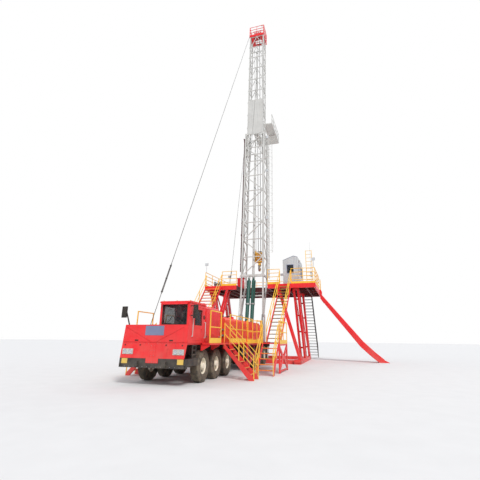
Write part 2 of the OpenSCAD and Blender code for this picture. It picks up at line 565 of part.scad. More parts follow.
// The mast's own frame: its origin at the pivot, +Z up the mast
module on_mast() translate([0, -pivot_y, pivot_z]) rotate([-mast_lean, 0, 0]) children();
front_y = -mast_front;
rear_y = mast_d - mast_front;
tele_y = front_y + 400;
tele_z = 1500;
tele_l = 13700;
tele_r = 60;
tele_stroke = 13500;
module mast_lower() color(white) on_mast() {
    cx = mast_w / 2 - chord;
    w = cx - seat;
    t = 60;
    // two side trusses; the front wall is seated between them
    both() {
        // front chord down to the pivot, rear chord, and the slanted rear leg
        span([cx, front_y, 110], [mast_w / 2, front_y + chord, mast_top]);
        difference() {
            yz(cx, chord) polygon([[front_y, 120], [-90, -70], [90, -70], [110, 100],
                [front_y + chord, 420]]);
            translate([foot_x, 0, 0]) shaft(foot_pin_r + run_gap, 300);
        }
        span([cx, rear_y - chord, mast_foot - 200], [mast_w / 2, rear_y, mast_top]);
        yz(cx, chord) polygon([[90, 0], [rear_y, mast_foot - 200], [rear_y - chord, mast_foot - 100],
            [-20, 120]]);
        span([cx, front_y - 20, mast_foot - 90], [mast_w / 2 + 60, front_y + chord, mast_foot + 90]);
        // side walls
        yz(mast_w / 2 - 90, t) translate([(front_y + rear_y) / 2, 0])
            lattice_wall(mast_d - 2 * chord + 4, mast_foot, mast_top, 9, 2, brace, "single");
    }
    // front wall, the heavy lowest beam and the cross bar between the legs
    xz(front_y + 30, t) lattice_wall(2 * w, mast_foot, mast_top, 9, stile, brace, "single");
    span([-w, front_y - 20, mast_foot - 90], [w, front_y + chord, mast_foot + 90]);
    span([-w, front_y + 20, 1500], [w, front_y + 100, 1600]);
    // lugs for the raising cylinders
    for (s = [-1, 1], e = [-1, 1]) difference() {
        yz(s * ram_x + e * (ram_eye_w / 2 + 6 + 15) - 15, 30) polygon([[front_y + 1, mast_foot - 88],
            [front_y + 1, mast_foot + 88], [ram_mast[1] - 60, ram_mast[2] + 90],
            [ram_mast[1] - 110, ram_mast[2] - 40], [ram_mast[1] + 20, ram_mast[2] - 110]]);
        translate([0, ram_mast[1], ram_mast[2]]) shaft(ram_pin_r, 1000);
    }
    both() translate([ram_x, ram_mast[1], ram_mast[2]]) shaft(ram_pin_r, ram_eye_w + 12 + 60);
    // tube of the telescoping ram, on the bracket that the cross bar carries
    difference() {
        translate([0, tele_y, tele_z]) cylinder(r = 100, h = tele_l, $fn = 40);
        translate([0, tele_y, tele_z + 60]) cylinder(r = tele_r + run_gap, h = tele_l, $fn = 40);
    }
    span([-60, front_y + 99, tele_z], [60, tele_y, tele_z + 60]);
}
module mast_ladder() color(yellow) on_mast() {
    x = mast_w / 2 + 130;
    for (y = [rear_y - 420, rear_y - 40]) {
        span([x, y, mast_foot], [x + 40, y + 40, mast_top + 600]);
        for (z = [mast_foot + 150, 7000, 11000, 15500])
            span([mast_w / 2 + seat, y, z], [x + 1, y + 40, z + 60]);
    }
    for (i = [1:45]) translate([x + 8, rear_y - 381, mast_foot + i * 325]) cube([24, 342, 26]);
}
uy0 = front_y + chord + 20;
board_z = 19740;
board_off = 140;
board_lug_x = upper_w / 2 - 75;
board_x = [-950, 1400];
board_l = 3950;
board_pin_r = 20;
module mast_upper() color(white) on_mast() {
    c = 95;
    cx = upper_w / 2 - c;
    d = upper_d;
    both() {
        for (y = [uy0, uy0 + d - c]) span([cx, y, upper_foot], [upper_w / 2, y + c, upper_top]);
        yz(upper_w / 2 - 75, 50) translate([uy0 + d / 2, 0])
            lattice_wall(d - 2 * c + 4, upper_foot, upper_top, 10, 2, brace, "single");
        // hinge lugs of the racking board, on the rear posts
        difference() {
            yz(board_lug_x, 40) polygon([[uy0 + d - 1, board_z - 260], [uy0 + d - 1, board_z + 60],
                [rear_y + board_off + 40, board_z + 30], [rear_y + board_off + 40, board_z - 60]]);
            translate([board_lug_x + 20, rear_y + board_off, board_z - 20])
                shaft(board_pin_r + run_gap, 60);
        }
    }
    // front wall, seated between the side trusses, with a flat panel low in the section
    w = cx - seat;
    xz(uy0 + 25, 50) lattice_wall(2 * w, upper_foot, upper_top, 10, stile, brace, "k");
    span([-w, uy0 + 10, 17600], [w, uy0 + 26, 21900]);
    // rod of the telescoping ram, its head seated against the front wall's cross beam
    head_z = tele_z + tele_l + tele_stroke + 80;
    translate([0, tele_y, tele_z + 80 + tele_stroke]) cylinder(r = tele_r, h = tele_l + 20, $fn = 40);
    span([-80, uy0 + 100 + seat, head_z], [80, tele_y + 80, head_z + 80]);
    span([-w, uy0 + 26, head_z - 10], [w, uy0 + 100, head_z + 90]);
}
crown_x = [420, 850];
crown_y = [uy0 - 40, rear_y + 60];
crown_z = upper_top + seat + 240;
crown_slot = 520;
sheave_r = 460;
crown_pin_z = upper_top + 820;
sheave_y = 660;
module crown_block() color(red) on_mast() {
    // base of four beams round the slot that the lines run through
    both() span([crown_x[0], crown_y[0], upper_top + seat], [crown_x[1], crown_y[1], crown_z]);
    for (y = [[crown_y[0], sheave_y - crown_slot], [sheave_y + crown_slot, crown_y[1]]])
        span([seat - crown_x[0], y[0], upper_top + seat], [crown_x[0] - seat, y[1], crown_z]);
    // cheeks and the sheaves on one pin
    for (x = [-480, 440]) yz(x, 40)
        polygon([[crown_y[0] + 40 + seat, crown_z + seat], [crown_y[1] - 40 - seat, crown_z + seat],
            [sheave_y + 160, crown_z + 760], [sheave_y - 160, crown_z + 760]]);
    translate([0, sheave_y, crown_pin_z]) shaft(70, 1040);
    for (x = [-330, -110, 110, 330]) translate([x, sheave_y, crown_pin_z]) rotate([0, 90, 0]) difference() {
        rotate_extrude($fn = 48)
            polygon([[60, -50], [sheave_r, -50], [sheave_r - 45, 0], [sheave_r, 50], [60, 50]]);
        for (a = [0:60:300]) rotate([0, 0, a]) translate([240, 0, -60]) cylinder(r = 85, h = 120, $fn = 32);
    }
    // four guard frames round the top
    for (x = [-crown_x[1], crown_x[1] - 40]) yz(x, 40) translate([crown_y[0], crown_z + seat])
        railing(crown_y[1] - crown_y[0], 0, 1320, 2, 3, 60);
    w = crown_x[1] - 40 - seat;
    for (y = [crown_y[0], crown_y[1] - 40]) xz(y, 40) translate([-w, crown_z + seat])
        railing(2 * w, 0, 1320, 2, 3, 60);
    // guy lugs on the front and rear faces near the corners
    both() for (sy = [-1, 1]) {
        face = crown_y[sy < 0 ? 0 : 1] + sy * seat;
        difference() {
            yz(crown_x[1] - 40, 30) polygon([[face, crown_z - 180], [face + sy * 80, crown_z - 180],
                [face + sy * 110, crown_z - 150], [face + sy * 110, crown_z - 90],
                [face + sy * 80, crown_z - 60], [face, crown_z - 60]]);
            translate([crown_x[1] - 25, face + sy * 70, crown_z - 120]) shaft(20, 60);
        }
    }
}
// Racking board: slotted deck, fingers and its guard rails, level when the mast leans
module on_board() translate([0, -pivot_y, pivot_z]) rotate([-mast_lean, 0, 0])
    translate([0, rear_y + board_off, board_z - 20]) rotate([mast_lean, 0, 0]) children();
module tubing_board() color(white) on_board() {
    difference() {
        span([board_x[0], 60, 0], [board_x[1], board_l, 110]);
        span([-450, 59, -1], [450, 2300, 111]);
        for (i = [0:4], x = [[560, board_x[1] - 150], [board_x[0] + 150, -200]])
            span([x[0], 2450 + i * 270, -1], [x[1], 2450 + i * 270 + 140, 111]);
        span([560, 500, -1], [board_x[1] - 150, 2200, 61]);
    }
    both() difference() {
        span([board_lug_x - 50, -40, -30], [board_lug_x - 6, 80, 60]);
        translate([board_lug_x - 20, 0, 0]) shaft(board_pin_r, 100);
    }
    both() translate([board_lug_x, 0, 0]) shaft(board_pin_r, 100);
}
module board_rails() color(white) on_board() translate([0, 0, 110 + seat]) {
    yz(board_x[1] - rail_t, rail_t) translate([60, 0]) railing(board_l - 60, 0, 1100, 4, 2, 120);
    yz(board_x[0], rail_t) translate([60, 0]) railing(board_l - 60, 0, 1100, 4, 2, 120);
    xz(board_l - rail_t, rail_t) translate([board_x[0], 0])
        railing(board_x[1] - board_x[0], 0, 1100, 2, 2, 120);
}
// Hook block: two cheeks, sheaves between them, swivel and hook
block_z = [7450, 9300];
module travelling_block() color(yellow) {
    for (x = [-380, 330]) yz(x, 50) polygon([[-230, 8250], [230, 8250], [330, 8500],
        [330, 9000], [180, block_z[1]], [-180, block_z[1]], [-330, 9000], [-330, 8500]]);
    for (x = [-220, 0, 220]) translate([x, 0, 8800]) rotate([0, 90, 0])
        rotate_extrude($fn = 48) polygon([[0, -50], [400, -50], [365, 0], [400, 50], [0, 50]]);
    translate([0, 0, 8800]) shaft(60, 800);
    span([-331, -200, 8250], [331, 200, 8350]);
    translate([0, 0, 7950]) cylinder(r = 130, h = 310, $fn = 40);
    translate([0, 0, 7700]) rotate([0, 90, 0]) difference() {
        cylinder(r = 250, h = 130, center = true, $fn = 48);
        cylinder(r = 130, h = 140, center = true, $fn = 48);
        span([-140, 40, -80], [100, 300, 80]);
    }
}
// Raising cylinders, from the mast's lug down to the ears in the frame
ram_top = [-pivot_y + ram_mast[1] * cos(mast_lean) + ram_mast[2] * sin(mast_lean),
    pivot_z - ram_mast[1] * sin(mast_lean) + ram_mast[2] * cos(mast_lean)];
ram_len = norm([ram_top[0] - ram_y, ram_top[1] - ram_z]);
ram_tilt = atan2(ram_top[0] - ram_y, ram_top[1] - ram_z);
barrel_l = 2150;
// Origin at the mast's lug, -Z down the cylinder
module on_ram() both() translate([ram_x, ram_top[0], ram_top[1]]) rotate([-ram_tilt, 0, 0]) children();
module cylinder_barrels() color(green) on_ram() difference() {
    union() {
        shaft(100, ram_eye_w);
        span([-ram_eye_w / 2, -80, -181], [ram_eye_w / 2, 80, 0]);
        translate([0, 0, -barrel_l]) cylinder(r = 160, h = barrel_l - 180, $fn = 48);
    }
    shaft(ram_pin_r + run_gap, ram_eye_w + 2);
    translate([0, 0, -barrel_l - 1]) cylinder(r = stage_r + run_gap, h = barrel_l - 240, $fn = 48);
}
stage_l = 1950;
stage_r = 142;
ram_rod_r = 95;
module cylinder_stages() color(green) on_ram() translate([0, 0, -barrel_l - stage_out]) difference() {
    cylinder(r = stage_r, h = stage_l, $fn = 48);
    translate([0, 0, -1]) cylinder(r = ram_rod_r + run_gap, h = stage_l - 30, $fn = 48);
}
stage_out = 1420;
module cylinder_rods() color(steel) on_ram() {
    difference() {
        union() {
            translate([0, 0, -ram_len + 150]) cylinder(r = ram_rod_r, h = 1810, $fn = 48);
            translate([0, 0, -ram_len]) shaft(ram_rod_r, ram_eye_w);
            span([-ram_eye_w / 2, -75, -ram_len], [ram_eye_w / 2, 75, -ram_len + 151]);
        }
        translate([0, 0, -ram_len]) shaft(ram_pin_r, ram_eye_w + 2);
    }
}

// Plan of the floor, i inside its edge
function floor_plan(i) = [[-floor_right + i, -floor_front + i], [-notch_x - i, -floor_front + i],
    [-notch_x - i, -floor_front + notch_d + i], [notch_x + i, -floor_front + notch_d + i],
    [notch_x + i, -floor_front + i], [floor_left - i, -floor_front + i], [floor_left - i, floor_rear - i],
    [-floor_right + i, floor_rear - i]];
rotary_seat = 620;
module floor_frame() color(red) difference() {
    union() {
        translate([0, 0, floor_z - 30]) linear_extrude(30) polygon(floor_plan(0));
        translate([0, 0, floor_z - edge_d]) linear_extrude(edge_d) difference() {
            polygon(floor_plan(0));
            polygon(floor_plan(130));
        }
        // joists under the deck
        for (x = [-3400, -2600, -1900, 1900, 2700, 3500, 4300])
            span([x - 50, -floor_front + 100, floor_z - edge_d],
                [x + 50, floor_rear - 100, floor_z - 29]);
        for (x = [-rotary_seat - 90, rotary_seat])
            span([x, -floor_front + notch_d + 100, floor_z - edge_d],
                [x + 90, floor_rear - 100, floor_z - 29]);
        for (y = [-rotary_seat - 90, rotary_seat, 2200])
            span([-floor_right + 100, y, floor_z - edge_d], [floor_left - 100, y + 90, floor_z - 29]);
    }
    translate([0, 0, floor_z - edge_d - 1]) linear_extrude(edge_d + 2) square(2 * 560, center = true);
}
module rotary_table() color(steel) difference() {
    union() {
        translate([-560 + seat, -560 + seat, floor_z - 260]) cube([1120 - 2 * seat, 1120 - 2 * seat, 300]);
        translate([0, 0, floor_z + 39]) cylinder(r = 480, h = 61, $fn = 64);
    }
    translate([0, 0, floor_z - 300]) cylinder(r = rotary_r, h = 500, $fn = 64);
}
// Base: skids, cross beams, slanted twin legs and their diagonals
skid_x = 3500;
leg_y = [[300, -2250], [3700, 1150]];
module floor_base() color(red) {
    both() span([skid_x - 250, -3100, 0], [skid_x + 250, 4150, 300]);
    for (y = [-2900, 3400]) span([-skid_x + 249, y, 0], [skid_x - 249, y + 800, pad_z]);
    top = floor_z - edge_d - seat;
    both() for (l = leg_y) span([skid_x - 230, l[1] - 190, top - 120], [skid_x + 230, l[1] + 190, top]);
    both() for (l = leg_y) for (x = [skid_x - 230, skid_x + 80]) {
        yz(x, 150) polygon([[l[0] - 190, 299], [l[0] + 190, 299], [l[1] + 190, top], [l[1] - 190, top]]);
        yz(x + 45, 60) polygon(bar([leg_y[1][0] - 200, 300],
            [leg_y[0][1] + 300, floor_z - edge_d - 60], 120));
    }
    both() for (l = leg_y, k = [0.15:0.233:0.9]) {
        y = l[0] + (l[1] - l[0]) * k;
        z = 300 + (floor_z - edge_d - 300) * k;
        span([skid_x - 81, y - 60, z - 60], [skid_x + 81, y + 60, z + 60]);
    }
    // splayed struts under the front edge
    both() for (y = strut_y) xz(y, 150) polygon([[strut_x[0] - 85, top], [strut_x[0] + 85, top],
        [strut_x[1] + 85, 299], [strut_x[1] - 85, 299]]);
}
strut_x = [2140, 3620];
strut_y = [-floor_front + 25, -floor_front + 625];
module floor_rails() color(yellow) translate([0, 0, floor_z + seat]) {
    // right edge, rear edge in two runs beside the rear stair, and the front runs beside the stairs
    yz(-floor_right, rail_t) translate([-floor_front, 0])
        railing(floor_front + floor_rear, 0, guard_h, 4, 4, 150);
    xz(floor_rear - rail_t, rail_t) translate([-floor_right, 0])
        railing(floor_right + rear_stair_x, 0, guard_h, 5, 4, 150);
    yz(floor_left - rail_t, rail_t) translate([-floor_front, 0])
        railing(floor_front + slide_y - 700, 0, guard_h, 3, 4, 150);
    yz(floor_left - rail_t, rail_t) translate([slide_y + 700, 0])
        railing(floor_rear - slide_y - 700, 0, guard_h, 1, 4, 150);
    xz(-floor_front, rail_t) {
        translate([notch_x, 0]) railing(stair_x - notch_x, 0, guard_h, 1, 4, 150);
        translate([stair_x + floor_stair_w, 0])
            railing(floor_left - stair_x - floor_stair_w, 0, guard_h, 2, 4, 150);
        translate([-stair2_x, 0]) railing(stair2_x - notch_x, 0, guard_h, 1, 4, 150);
    }
}
stair_x = 2300;
floor_stair_w = 900;
stair2_x = 2600;
rear_stair_x = 3200;
land_y = [-10300, -7890];
land_x = [walk_x + seat, 3600];
low_x = 2650;
// Main stair with its landing tower, the front right stair and the dark rear stair
low_run = 1500;
stair2_run = 5200;
stair2_w = 1400;
rear_run = 4400;
rail_rise = 85;
module rear_stair_at() translate([rear_stair_x + 50, floor_rear + rear_run + seat, 0])
    mirror([0, 1, 0]) children();
module floor_stairs() {
    run = -floor_front - land_y[1] - 10 - seat;
    mid = (land_y[0] + land_y[1]) / 2 + 20;
    foot = [land_y[0], land_y[1] - 40];
    color(red) {
        translate([stair_x, land_y[1] + 10, deck_z - 10])
            flight(run, floor_z - deck_z, floor_stair_w, 17, 45);
        translate([low_x, land_y[0] - low_run - seat, 0]) flight(low_run, deck_z - 10, floor_stair_w, 6, 45);
        // landing on four legs with braced sides
        span([land_x[0], land_y[0], deck_z - 60], [land_x[1], land_y[1] + 40, deck_z]);
        for (x = [land_x[0], land_x[1] - 80], y = foot) span([x, y, 0], [x + 80, y + 80, deck_z - 59]);
        for (x = [land_x[0] + 10, land_x[1] - 70]) yz(x, 60) difference() {
            translate([land_y[0] + 1, 60]) square([land_y[1] - land_y[0], deck_z - 130]);
            polygon([[foot[0] + 80, 220], [foot[0] + 80, deck_z - 240], [foot[0] + 820, 750]]);
            polygon([[foot[1], 220], [foot[1], deck_z - 240], [foot[1] - 740, 750]]);
            polygon([[foot[0] + 160, 130], [foot[1] - 80, 130], [mid, 690]]);
            polygon([[foot[0] + 160, deck_z - 150], [foot[1] - 80, deck_z - 150], [mid, 810]]);
        }
        translate([-4000, -floor_front - stair2_run - seat, 0])
            flight(stair2_run, floor_z - 10, stair2_w, 22, 45);
    }
    color(yellow) {
        translate([stair_x, land_y[1] + 10, deck_z + rail_rise])
            flight_rails(run, floor_z - deck_z, floor_stair_w, 950, 4);
        translate([low_x, land_y[0] - low_run - seat, rail_rise])
            flight_rails(low_run, deck_z - 100, floor_stair_w, 950, 2);
        translate([0, 0, deck_z - 1]) {
            yz(land_x[1] - rail_t, rail_t) translate([land_y[0], 0])
                railing(land_y[1] - land_y[0] + 40, 0, 1150, 2, 2, 150);
            xz(land_y[0], rail_t) translate([land_x[0], 0]) railing(low_x - land_x[0], 0, 1150, 1, 2, 150);
            xz(land_y[1], rail_t) translate([3230, 0]) railing(land_x[1] - 3230, 0, 1150, 1, 2, 150);
        }
        translate([-4000, -floor_front - stair2_run - seat, rail_rise])
            flight_rails(stair2_run, floor_z - 100, stair2_w, 950, 4);
    }
    color(dark) rear_stair_at() {
        flight(rear_run, floor_z - 10, 900, 22, 45);
        translate([0, 0, rail_rise]) flight_rails(rear_run, floor_z - 100, 900, 950, 4);
    }
}
slide_y = 2300;
slide_l = 5100;
// V-door slide: a straight trough from the floor's edge that flattens out at the ground
module pipe_slide() color(red) translate([floor_left, slide_y, 0]) {
    pts = [[5, floor_z - 270], [slide_l * 0.63, 1560], [slide_l * 0.79, 760], [slide_l * 0.92, 200],
        [slide_l, 0], [slide_l * 0.84, 0], [slide_l * 0.74, 430], [slide_l * 0.59, 1150], [5, floor_z - 710]];
    difference() {
        xz(-600, 1200) polygon(pts);
        translate([0, 0, 140]) xz(-480, 960) polygon(pts);
    }
    // hooks over the floor's edge
    for (y = [-560, 440]) {
        span([-60, y, floor_z + seat], [120, y + 120, floor_z + 60]);
        span([5, y, floor_z - 400], [120, y + 120, floor_z + 1]);
    }
}
// Doghouse: hollow, with a mono-pitch roof, a window and a door towards the floor's left edge
dog_x = [2400, 3650];
dog_y = [-1600, 1400];
dog_h = 2350;
dog_t = 60;
dog_door_y = [-1350, -600];
module dog_house() color(steel) translate([0, 0, floor_z + seat]) {
    hinge(dog_x[1], dog_door_y[0] + door_gap / 2, [350, 1750], false);
    difference() {
    xz(dog_y[0], dog_y[1] - dog_y[0]) polygon([[dog_x[0], 0], [dog_x[1], 0], [dog_x[1], dog_h],
        [dog_x[1] - 350, dog_h + 120], [dog_x[0], dog_h - 220]]);
    xz(dog_y[0] + dog_t, dog_y[1] - dog_y[0] - 2 * dog_t) polygon([[dog_x[0] + dog_t, dog_t],
        [dog_x[1] - dog_t, dog_t], [dog_x[1] - dog_t, dog_h - dog_t], [dog_x[1] - 350, dog_h + 60],
        [dog_x[0] + dog_t, dog_h - 290]]);
    span([dog_x[1] - dog_t - 1, dog_door_y[0], 80], [dog_x[1] + 1, dog_door_y[1], 2050]);
    span([dog_x[1] - dog_t - 1, 0, 1050], [dog_x[1] + 1, 900, 1750]);
    span([dog_x[0] + 350, dog_y[0] - 1, 1050], [dog_x[1] - 400, dog_y[0] + dog_t + 1, 1700]);
    }
}
module dog_house_door() color(steel) translate([0, 0, floor_z + seat]) {
    hinge(dog_x[1], dog_door_y[0] + door_gap / 2, [350, 1750], true);
    difference() {
        span([dog_x[1] - dog_t, dog_door_y[0] + door_gap, 80 + door_gap],
            [dog_x[1], dog_door_y[1] - door_gap, 2050 - door_gap]);
        span([dog_x[1] - dog_t - 1, dog_door_y[0] + 180, 1250],
            [dog_x[1] + 1, dog_door_y[1] - 180, 1800]);
        span([dog_x[1] - 15, dog_door_y[1] - 110, 1000], [dog_x[1] + 1, dog_door_y[1] - 60, 1080]);
    }
}
// Straight stays from the mast to the hood and to the floor
function mast_at(p) = [p.x, -pivot_y + p.y * cos(mast_lean) + p.z * sin(mast_lean),
    pivot_z - p.y * sin(mast_lean) + p.z * cos(mast_lean)];
module rod(p, q, r) {
    v = q - p;
    translate(p) rotate([0, acos(v.z / norm(v)), atan2(v.y, v.x)]) cylinder(r = r, h = norm(v), $fn = 16);
}
stay_r = 14;
// How far the foot of a leaning stay is lifted so that its lower edge rests on what carries it
function lift(p, q) = stay_r * norm([q.x - p.x, q.y - p.y]) / norm(q - p) + seat;
function stay(q, p) = [q, p + [0, 0, lift(p, q)]];
stays = [stay(mast_at([25 - crown_x[1], crown_y[0] - 60, upper_top + 50]),
        [stay_foot.x, stay_foot.y, hood_z + 30]),
    stay(mast_at([-mast_w / 2 - stay_r - seat, front_y + 60, 16200]), [-1900, -floor_front + 80, floor_z])];
module front_stays() color(dark) for (s = stays) {
    rod(s[1], s[0], stay_r);
    rod(s[1] + (s[0] - s[1]) * 0.045, s[1] + (s[0] - s[1]) * 0.085, 45);
}

chassis_frame();
axle_beams();
front_bumper();
nose_panel();
lamps();
cab_body();
cab_roof();
cab_glass();
cab_seat();
steering_wheel();
cab_door();
mirrors();
engine_housing();
exhaust_stacks();
gearbox_case();
drawworks_guard();
drawworks_drum();
deck_plates();
carrier_rails();
carrier_stairs();
jack_legs();
mast_base();
side_tanks();
mast_lower();
mast_ladder();
mast_upper();
crown_block();
tubing_board();
board_rails();
travelling_block();
cylinder_barrels();
cylinder_stages();
cylinder_rods();
floor_frame();
floor_base();
floor_rails();
floor_stairs();
rotary_table();
pipe_slide();
dog_house();
dog_house_door();
front_stays();
knuckle(kingpin_x, front_axles[0]);  // knuckle_1l
knuckle(-kingpin_x, front_axles[0]);  // knuckle_1r
knuckle(kingpin_x, front_axles[1]);  // knuckle_2l
knuckle(-kingpin_x, front_axles[1]);  // knuckle_2r
knuckle(kingpin_x, front_axles[2]);  // knuckle_3l
knuckle(-kingpin_x, front_axles[2]);  // knuckle_3r
front_wheel(track_x, front_axles[0]);  // wheel_1l
front_wheel(-track_x, front_axles[0]);  // wheel_1r
front_wheel(track_x, front_axles[1]);  // wheel_2l
front_wheel(-track_x, front_axles[1]);  // wheel_2r
front_wheel(track_x, front_axles[2]);  // wheel_3l
front_wheel(-track_x, front_axles[2]);  // wheel_3r
twin_wheel(1, rear_axles[0]);  // wheel_4l
twin_wheel(-1, rear_axles[0]);  // wheel_4r
twin_wheel(1, rear_axles[1]);  // wheel_5l
twin_wheel(-1, rear_axles[1]);  // wheel_5r
twin_wheel(1, rear_axles[2]);  // wheel_6l
twin_wheel(-1, rear_axles[2]);  // wheel_6r
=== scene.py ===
"""Workover rig: finishes, tyres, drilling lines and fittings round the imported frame.

Metres, in the row frame: the nose points along -Y, the vehicle's left is +X, +Z is up.
"""

import itertools
import json
import math
import random

import bmesh
import bpy
from mathutils import Matrix, Vector


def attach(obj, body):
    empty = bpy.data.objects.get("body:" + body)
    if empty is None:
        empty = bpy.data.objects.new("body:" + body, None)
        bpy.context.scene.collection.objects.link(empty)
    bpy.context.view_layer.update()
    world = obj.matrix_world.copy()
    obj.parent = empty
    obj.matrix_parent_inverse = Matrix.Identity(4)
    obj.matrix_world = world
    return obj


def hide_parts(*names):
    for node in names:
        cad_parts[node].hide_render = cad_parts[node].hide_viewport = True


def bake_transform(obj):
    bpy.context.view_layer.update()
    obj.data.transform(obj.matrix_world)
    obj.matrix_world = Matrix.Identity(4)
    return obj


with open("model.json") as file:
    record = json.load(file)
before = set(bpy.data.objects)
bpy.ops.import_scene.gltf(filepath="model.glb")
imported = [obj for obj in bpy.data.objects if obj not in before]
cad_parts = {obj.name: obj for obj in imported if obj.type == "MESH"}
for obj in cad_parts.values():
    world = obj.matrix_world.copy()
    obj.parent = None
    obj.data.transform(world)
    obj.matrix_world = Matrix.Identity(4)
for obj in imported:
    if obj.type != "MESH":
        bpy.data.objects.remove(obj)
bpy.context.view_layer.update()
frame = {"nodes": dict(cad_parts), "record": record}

nodes = frame["nodes"]
rng = random.Random(7)

# Main places and sizes
LEAN = math.radians(3.5)  # rearward lean of the erected mast
PIVOT = (-2.6, 3.4)  # y and z of the mast's pivot
MAST = Matrix.Translation((0, *PIVOT)) @ Matrix.Rotation(-LEAN, 4, "X")  # the mast's own frame
AXLE_Z = 0.625
FRONT_AXLES = (-15.2, -13.7, -12.2)
REAR_AXLES = (-7.0, -5.6, -4.2)
NOSE_Y = -17.0
HALF_W = 1.4
DECK_Z = 1.5
FLOOR_Z = 5.83
SEAT = 0.0003  # how far a plate of the nose is let into the sheet
SIDES = (-1, 1)

# Materials
DUST = (0.42, 0.34, 0.24, 1)
RUST = (0.13, 0.045, 0.02, 1)
MATERIALS = {}  # what every finished shade made, by name


class Shade:
    """A procedural material that is built up socket by socket."""

    def __init__(self, name):
        self.name, self.material = name, bpy.data.materials.new(name)
        self.material.use_nodes = True
        self.tree = self.material.node_tree
        self.skin = self.tree.nodes["Principled BSDF"]
        self.place = self.add("ShaderNodeTexCoord").outputs["Object"]
        self.height = self.add("ShaderNodeSeparateXYZ", Vector=self.place).outputs["Z"]

    def feed(self, socket, value):
        if isinstance(value, bpy.types.NodeSocket):
            self.tree.links.new(value, socket)
        else:
            socket.default_value = value

    def fill(self, node, sockets):
        for key, value in sockets.items():
            self.feed(node.inputs[key.replace("_", " ")], value)
        return node

    def add(self, kind, settings=None, **sockets):
        node = self.tree.nodes.new(kind)
        for key, value in (settings or {}).items():
            setattr(node, key, value)
        return self.fill(node, sockets)

    def noise(self, scale, detail=3.0, stretch=(1, 1, 1)):
        at = self.add("ShaderNodeMapping", Vector=self.place, Scale=stretch).outputs[0]
        return self.add("ShaderNodeTexNoise", Vector=at, Scale=scale, Detail=detail).outputs["Fac"]

    def band(self, value, low, high, top=1.0, bottom=0.0):
        """bottom where value is below low, and top where it is above high."""
        ends = {"From_Min": low, "From_Max": high, "To_Min": bottom, "To_Max": top}
        return self.add("ShaderNodeMapRange", Value=value, **ends).outputs[0]

    def math(self, operation, a, b):
        node = self.add("ShaderNodeMath", {"operation": operation})
        self.feed(node.inputs[0], a)
        self.feed(node.inputs[1], b)
        return node.outputs[0]

    def mix(self, factor, a, b):
        node = self.add("ShaderNodeMix", {"data_type": "RGBA"})
        for index, value in ((0, factor), (6, a), (7, b)):
            self.feed(node.inputs[index], value)
        return node.outputs[2]

    def bump(self, value, strength, distance, normal=None):
        node = self.add("ShaderNodeBump", Strength=strength, Distance=distance, Height=value)
        if normal is not None:
            self.feed(node.inputs["Normal"], normal)
        return node.outputs[0]

    def finish(self, **sockets):
        self.fill(self.skin, sockets)
        MATERIALS[self.name] = self.material


def tint(colour, factor):
    return tuple(min(1.0, c * factor) for c in colour[:3]) + (1,)


def paint(name, colour, rough=0.38, metallic=0.0, chips=0.5, dust=0.5, streak=0.35, chip_colour=RUST):
    """Weathered paint: faded patches, rain streaks, chips to the primer, and dust low down."""
    s = Shade(name)
    colour = (*colour, 1)
    edge_normal = s.add("ShaderNodeBevel", {"samples": 3}, Radius=0.008).outputs[0]
    turn = s.add("ShaderNodeVectorMath", {"operation": "DOT_PRODUCT"})
    s.feed(turn.inputs[0], edge_normal)
    s.feed(turn.inputs[1], s.add("ShaderNodeNewGeometry").outputs["Normal"])
    edge = s.band(s.math("SUBTRACT", 1.0, turn.outputs["Value"]), 0.004, 0.09)
    coarse, fine = s.noise(0.7, 5), s.noise(14, 6)
    base = s.mix(s.band(coarse, 0.38, 0.72, 0.55), colour, tint(colour, 0.78))
    pale = tuple(0.9 * c + 0.05 for c in colour[:3]) + (1,)
    base = s.mix(s.band(s.noise(1.9, 4), 0.5, 0.8, 0.3), base, pale)
    runs = s.band(s.noise(7, 5, (1, 1, 0.07)), 0.54, 0.78, streak)
    base = s.mix(runs, base, tint(colour, 0.5))
    low = s.band(s.height, 2.4, 0.1, dust)
    grime = s.math("MULTIPLY", low, s.band(s.noise(3.1, 6), 0.3, 0.62))
    base = s.mix(grime, base, DUST)
    worn = s.math("MULTIPLY", s.band(fine, 0.52, 0.6), edge)
    spots = s.band(s.noise(24, 7), 0.70, 0.74, 0.8)
    damage = s.math("ADD", s.math("MULTIPLY", worn, chips), s.math("MULTIPLY", spots, chips))
    damage = s.math("MINIMUM", damage, 1.0)
    wear = s.math("ADD", s.math("ADD", s.math("MULTIPLY", coarse, 0.5), grime), damage)
    relief = s.math("ADD", s.math("MULTIPLY", fine, 0.35), s.math("MULTIPLY", damage, -0.6))
    s.finish(
        Base_Color=s.mix(damage, base, chip_colour),
        Roughness=s.band(wear, 0.0, 1.4, min(0.95, rough + 0.5), rough),
        Metallic=metallic,
        Normal=s.bump(relief, 0.25, 0.004, edge_normal),
    )


def metal(name, colour, rough, grain=(1, 1, 1), grease=0.4):
    """Bare or plated metal with grain and greasy patches."""
    s = Shade(name)
    patches, scratches = s.noise(2.3, 5), s.noise(60, 3, grain)
    base = s.mix(s.band(patches, 0.42, 0.7, grease), (*colour, 1), tint(colour, 0.3))
    s.finish(
        Base_Color=s.mix(s.band(scratches, 0.45, 0.7, 0.3), base, tint(colour, 1.4)),
        Roughness=s.band(patches, 0.3, 0.7, rough + 0.25, rough),
        Metallic=0.9,
        Normal=s.bump(scratches, 0.12, 0.002),
    )


def rubber(name, colour, dust=0.75):
    """Rubber, vinyl or plastic with blotches of dust."""
    s = Shade(name)
    blotch = s.noise(5, 6)
    base = s.mix(s.band(blotch, 0.3, 0.6, dust), (*colour, 1), (0.2, 0.16, 0.11, 1))
    s.finish(
        Base_Color=s.mix(s.band(s.noise(40, 3), 0.55, 0.75, 0.4), base, DUST),
        Roughness=s.band(blotch, -1.2, 0.6, 0.95),
        Normal=s.bump(s.noise(90, 4), 0.2, 0.003),
    )


